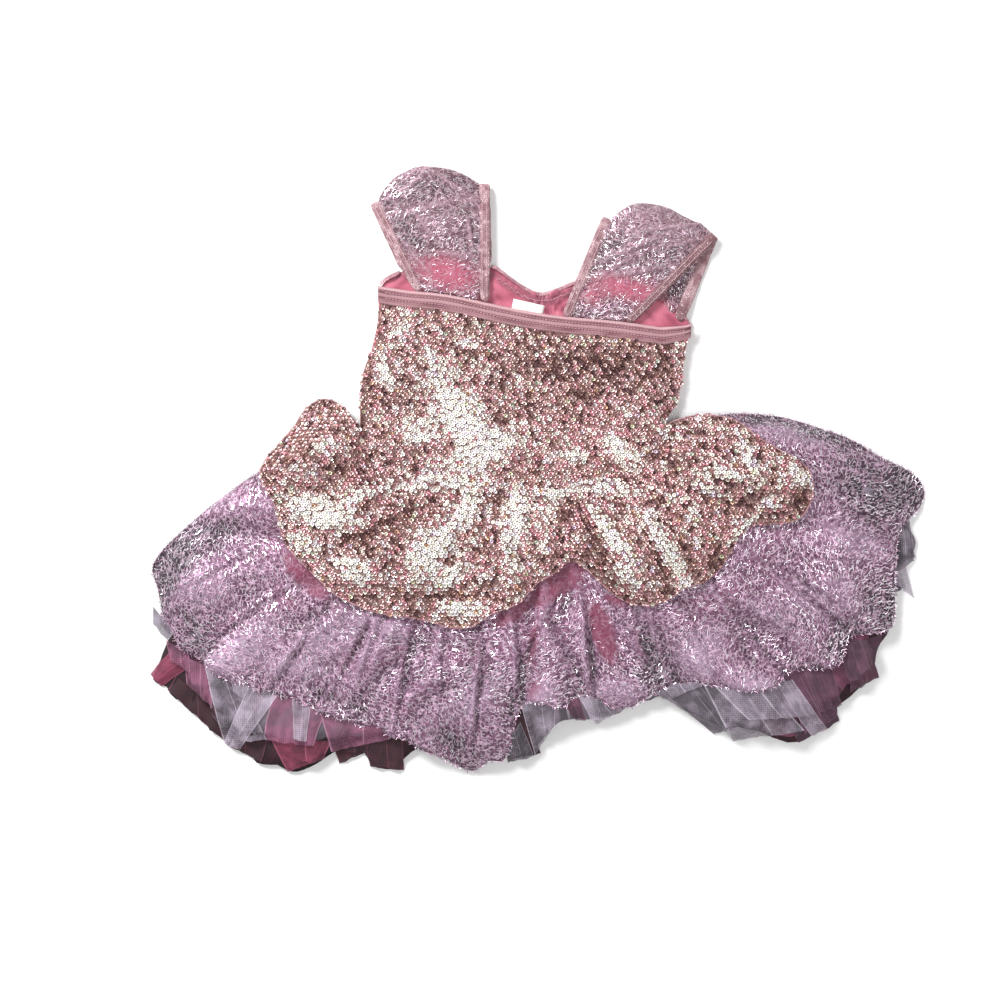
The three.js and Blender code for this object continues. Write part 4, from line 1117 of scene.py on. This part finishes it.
# ribs: how far across the band, and how high, in mm, each line of its section runs; below: by how much its
# foot hangs lower than the solid's, in mm.
bandShape = {"ribs": ((0.0, -1.6), (0.04, -0.3), (0.12, 0.3), (0.24, 0.45), (0.32, 0.0), (0.42, 0.4),
                      (0.56, 0.45), (0.64, 0.0), (0.76, 0.4), (0.88, 0.35), (0.96, -0.3), (1.0, -1.6)),
             "columns": 220, "places": 60, "reach": 9, "below": 0.4}
bandTree = surfaceTree(nodes["back_top_elastic"].data)
bandPoints = meshPoints(nodes["back_top_elastic"].data)
bandXs = np.linspace(bandPoints[:, 0].min(), bandPoints[:, 0].max(), bandShape["places"])
bandEdges = [edgeAt(bandPoints, bandXs, bandShape["reach"], pick) for pick in (np.max, np.min)]
bandTops, bandFeet = (smoothed(edge, 7, "reflect", reflect_type="odd") for edge in bandEdges)
bandFeet += -bandShape["below"] * mm


def bandPoint(x, share, lift):
    top, foot = np.interp(x, bandXs, bandTops), np.interp(x, bandXs, bandFeet)
    y = top + (foot - top) * share
    inside = top + (foot - top) * min(max(share, 0.12), 0.88)
    point, _ = dropOnto(bandTree, min(max(x, bandXs[0] + 0.002), bandXs[-1] - 0.002), inside)
    height = point.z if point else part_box("back_top_elastic")[1].z
    return Vector((x, y, height + (lift - 0.3) * mm))


def buildBand():
    xs = np.linspace(bandXs[0] + 0.0005, bandXs[-1] - 0.0005, bandShape["columns"])
    ribs = bandShape["ribs"]
    points = []
    for x in xs:
        swell = 0.25 * noise.noise(Vector((x / 0.02, 0, 0)))
        points += [bandPoint(x, share, lift + swell) for share, lift in ribs]
    mesh = meshFrom(points, gridFaces(len(xs), len(ribs)))
    array = meshPoints(mesh)
    clothMap(mesh, array[:, 0], np.tile([share for share, _ in ribs], len(xs)) * bandWidth)
    heights = array[:, 2].reshape(len(xs), len(ribs))
    array[:, 2] = np.stack([smoothed(column, 9) for column in heights.T], axis=1).ravel()
    setPoints(mesh, array)
    return mesh


bandMesh = buildBand()
band = addPiece("back_top_elastic_cloth", bandMesh, "elastic", "elastic", "back_top_elastic")
thicken(band, 1.2 * mm)


# How long, wide and high each kind of stitch is, in mm, and its section along its run.
stitchSizes = {"band": (2.1, 0.55, 0.3), "binding": (1.6, 0.45, 0.22), "neck": (1.7, 0.5, 0.25)}
stitchSection = ((-1, -1), (-0.6, 0.6), (0.6, 0.6), (1, -1))


def stitches(kind, points):
    # Short raised threads, end to end along a line of points.
    length, width, lift = (size * mm for size in stitchSizes[kind])
    quads = []
    for start, end in zip(points[:-1], points[1:]):
        run = (end - start).normalized()
        side = run.cross(upward).normalized() * width / 2
        middle = (start + end) / 2 + upward * lift
        line = [middle + run * length / 2 * along + upward * lift * rise for along, rise in stitchSection]
        quads += [ribbon(a, b, side) for a, b in zip(line[:-1], line[1:])]
    return quadMesh(np.array(quads), smooth=True)


stitchXs = np.arange(bandXs[0] + 0.006, bandXs[-1] - 0.004, 2.6 * mm)
for row, share in enumerate((0.32, 0.64)):
    line = [bandPoint(x, share, 0.15) for x in stitchXs]
    addPiece(f"band_stitches_{row}", stitches("band", line), "softThread", "elastic")

sizeLabel = {"corners": ((513.5, 299.5), (544.5, 306.5), (541.3, 320.5), (510.3, 313.5)),
             "across": 14, "up": 6, "curl": 1.4, "raised": 1.1}


def buildLabel():
    a, b, c, d = (fromPhoto(*corner) for corner in sizeLabel["corners"])
    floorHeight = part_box("label")[1].z
    points = []
    for down in np.linspace(0, 1, sizeLabel["up"]):
        for across in np.linspace(0, 1, sizeLabel["across"]):
            place = a.lerp(b, across).lerp(d.lerp(c, across), down)
            curl = sizeLabel["curl"] * mm * ((1 - down) ** 2 + 0.3 * math.sin(4 * across))
            points.append((place.x, place.y, floorHeight + sizeLabel["raised"] * mm + curl))
    faces = [(a, d, c, b) for a, b, c, d in gridFaces(sizeLabel["up"], sizeLabel["across"])]
    return meshFrom(points, faces)


label = addPiece("label_cloth", buildLabel(), "label", "label", "label")
thicken(label, 0.35 * mm)

print("stitching")


def binMiddles(points, start, run, count):
    # Middles and half width of a long narrow set of points, at even steps along all but its two ends.
    along = (points[:, 0] - start.x) * run.x + (points[:, 1] - start.y) * run.y
    across = (points[:, 1] - start.y) * run.x - (points[:, 0] - start.x) * run.y
    length = np.ptp(along)
    steps = np.linspace(along.min() + 0.04 * length, along.min() + 0.96 * length, count)
    middles, halves = [], []
    for step in steps:
        near = across[np.abs(along - step) < length / count * 1.6]
        middles.append((near.max() + near.min()) / 2)
        halves.append((near.max() - near.min()) / 2)
    return steps, smoothed(middles, 5), np.median(halves)


bindingRows = {"above": 5.5, "places": (-0.45, 0.45), "pitch": 1.9, "zigzag": 0.25}


def stitchedBinding(name, mesh):
    # Rows of stitches along the upper leg of a binding.
    points = meshPoints(mesh)
    points = points[points[:, 2] > bindingRows["above"] * mm]
    centre = points.mean(axis=0)
    _, _, axes = np.linalg.svd(points[:, :2] - centre[:2], full_matrices=False)
    run, start = Vector((*axes[0], 0)), Vector((*centre[:2], 0))
    length = np.ptp((points[:, :2] - centre[:2]) @ axes[0])
    count = max(6, int(length / (bindingRows["pitch"] * mm)))
    steps, middles, half = binMiddles(points, start, run, count)
    tree = surfaceTree(mesh)
    quads = []
    for row in bindingRows["places"]:
        line = []
        for i, (step, middle) in enumerate(zip(steps, middles)):
            sideways = middle + row * half + bindingRows["zigzag"] * mm * (1 if i % 2 else -1)
            place = start + run * step + Vector((-run.y, run.x, 0)) * sideways
            top, _ = dropOnto(tree, place.x, place.y)
            if top is not None:
                line.append(top + upward * 0.15 * mm)
        if len(line) > 2:
            quads.append(meshPoints(stitches("binding", line)).reshape(-1, 4, 3))
    addPiece(name, quadMesh(np.concatenate(quads), smooth=True), "thread", "trim")


def neckStitches():
    # A zigzag row along the neckline binding's lower edge.
    xs = np.arange(neckPoints[:, 0].min() + 0.004, neckPoints[:, 0].max() - 0.004, 1.3 * mm)
    liningTree = surfaceTree(liningMesh)
    line = []
    for i, (x, edge) in enumerate(zip(xs, edgeAt(neckPoints, xs, 6))):
        top, _ = dropOnto(liningTree, x, edge - (2.2 if i % 2 else 3.6) * mm)
        if top is not None:
            line.append(top + upward * 0.5 * mm)
    return stitches("neck", line)


addPiece("neckline_stitches", neckStitches(), "softThread", "trim")


# Straps

print("straps")
# out, fold and crumple: how far, in mm, the net stands out of its solid sideways, in its seen folds and in
# between them; frontHalf: how far the right strap's front half lies from its solid.
strapShape = {"length": 0.19, "out": 1.1, "fold": 2.4, "crumple": 1.1, "bindingOut": 0.8,
              "frontHalf": (-3.2, -6, 3)}
for side in ("left", "right"):
    net = f"strap_{side}_net"
    mesh = cloth(net, 3, False)
    points, normals = meshPoints(mesh), meshPoints(mesh, "normal")
    folds = patchAt(strapPale, points)
    upper = normals[:, 2] > 0
    points[:, :2] += strapShape["out"] * mm * normals[:, :2]
    crumple = strapShape["crumple"] * noiseAt(points * (0.6, 1, 1), 0.009, 5)
    points += normals * (mm * (strapShape["fold"] * folds * upper + crumple))[:, None]
    points[:, 2] = np.maximum(points[:, 2], lowest)
    points = movedAt(cornerPatch, points, strapShape["frontHalf"])
    setPoints(mesh, points)
    rosy, dark = patchAt(strapRosy, points), patchAt(strapDark, points)
    # Painted shade over the whole strap net, deeper in its dark patches and less on its folds; painted
    # highlights along the folds.
    paint(mesh, "blush", rosy * 0.9)
    paint(mesh, "painted_shade", np.clip(0.22 + 0.6 * dark - 0.4 * folds - 0.2 * rosy, 0, 0.9))
    paint(mesh, "painted_highlight", folds * 0.7)
    strap = addPiece(net + "_cloth", mesh, "strapNet", "net", net)
    places = scatterPlaces(*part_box(net), 0.85 * netThreads["spacing"] * mm)
    places = places[draw.uniform(size=len(places)) > 0.75 * patchAt(strapRosy, places)]
    bright = 0.05 + 0.35 * patchAt(strapDark, places)
    threads = scatterThreads(surfaceTree(mesh), places, bright, 0.68)
    addPiece(net + "_threads", threads, "foil", "net")
    for edge in ("outer", "inner"):
        node = f"strap_{side}_{edge}_binding"
        piece = wrinkled(node, 2, "binding", "trim", 0.5, 4, 8)
        points, normals = meshPoints(piece.data), meshPoints(piece.data, "normal")
        points[:, :2] += strapShape["bindingOut"] * mm * normals[:, :2]
        points = movedAt(cornerPatch, points, strapShape["frontHalf"])
        setPoints(piece.data, points)
        # The right outer binding is darker along its back half, which lies higher.
        darkened = 1.0 if side == "right" and edge == "outer" else 0.0
        paint(piece.data, "darkened", darkened * smoothstep(0.0035, 0.0045, points[:, 2]))
        stitchedBinding(node + "_stitches", piece.data)


# Floor, lights and camera

print("stage")
floorMesh = meshFrom([(-6, -6, 0), (6, -6, 0), (6, 6, 0), (-6, 6, 0)], [(0, 1, 2, 3)])
floor = bpy.data.objects.new("floor", floorMesh)
scene.collection.objects.link(floor)
floorLook = Finish("pale_floor", Base_Color=(0.97, 0.97, 0.97), Roughness=0.9)
floorMesh.materials.append(floorLook.material)
floor.location.z = -0.0002


def areaLight(name, place, size, power, aim=(0, 0, 0)):
    lamp = bpy.data.lights.new(name, "AREA")
    lamp.size, lamp.energy = size, power
    light = bpy.data.objects.new(name, lamp)
    light.location = place
    light.rotation_euler = (Vector(aim) - Vector(place)).to_track_quat("-Z", "Y").to_euler()
    scene.collection.objects.link(light)


areaLight("key_light", (-1.3, 1.3, 1.3), 0.7, 58)
areaLight("fill_light", (1.6, -0.8, 1.8), 1.6, 8)
areaLight("top_light", (0.2, -0.3, 2.6), 0.7, 18)

world = bpy.data.worlds.new("studio")
world.use_nodes = True
world.node_tree.nodes["Background"].inputs["Color"].default_value = (1, 0.98, 0.98, 1)
world.node_tree.nodes["Background"].inputs["Strength"].default_value = 0.36
scene.world = world
scene.view_settings.view_transform = "Standard"

# The photograph is 800 mm across at the surface, seen from straight above.
view = {"width": 0.8, "lens": 85, "sensor": 36, "middle": (-30.9 * mm, -21.1 * mm)}
camera = bpy.data.cameras.new("camera")
camera.lens, camera.sensor_width = view["lens"], view["sensor"]
cameraObject = bpy.data.objects.new("camera", camera)
cameraObject.location = (*view["middle"], view["width"] * view["lens"] / view["sensor"])
scene.collection.objects.link(cameraObject)
scene.camera = cameraObject
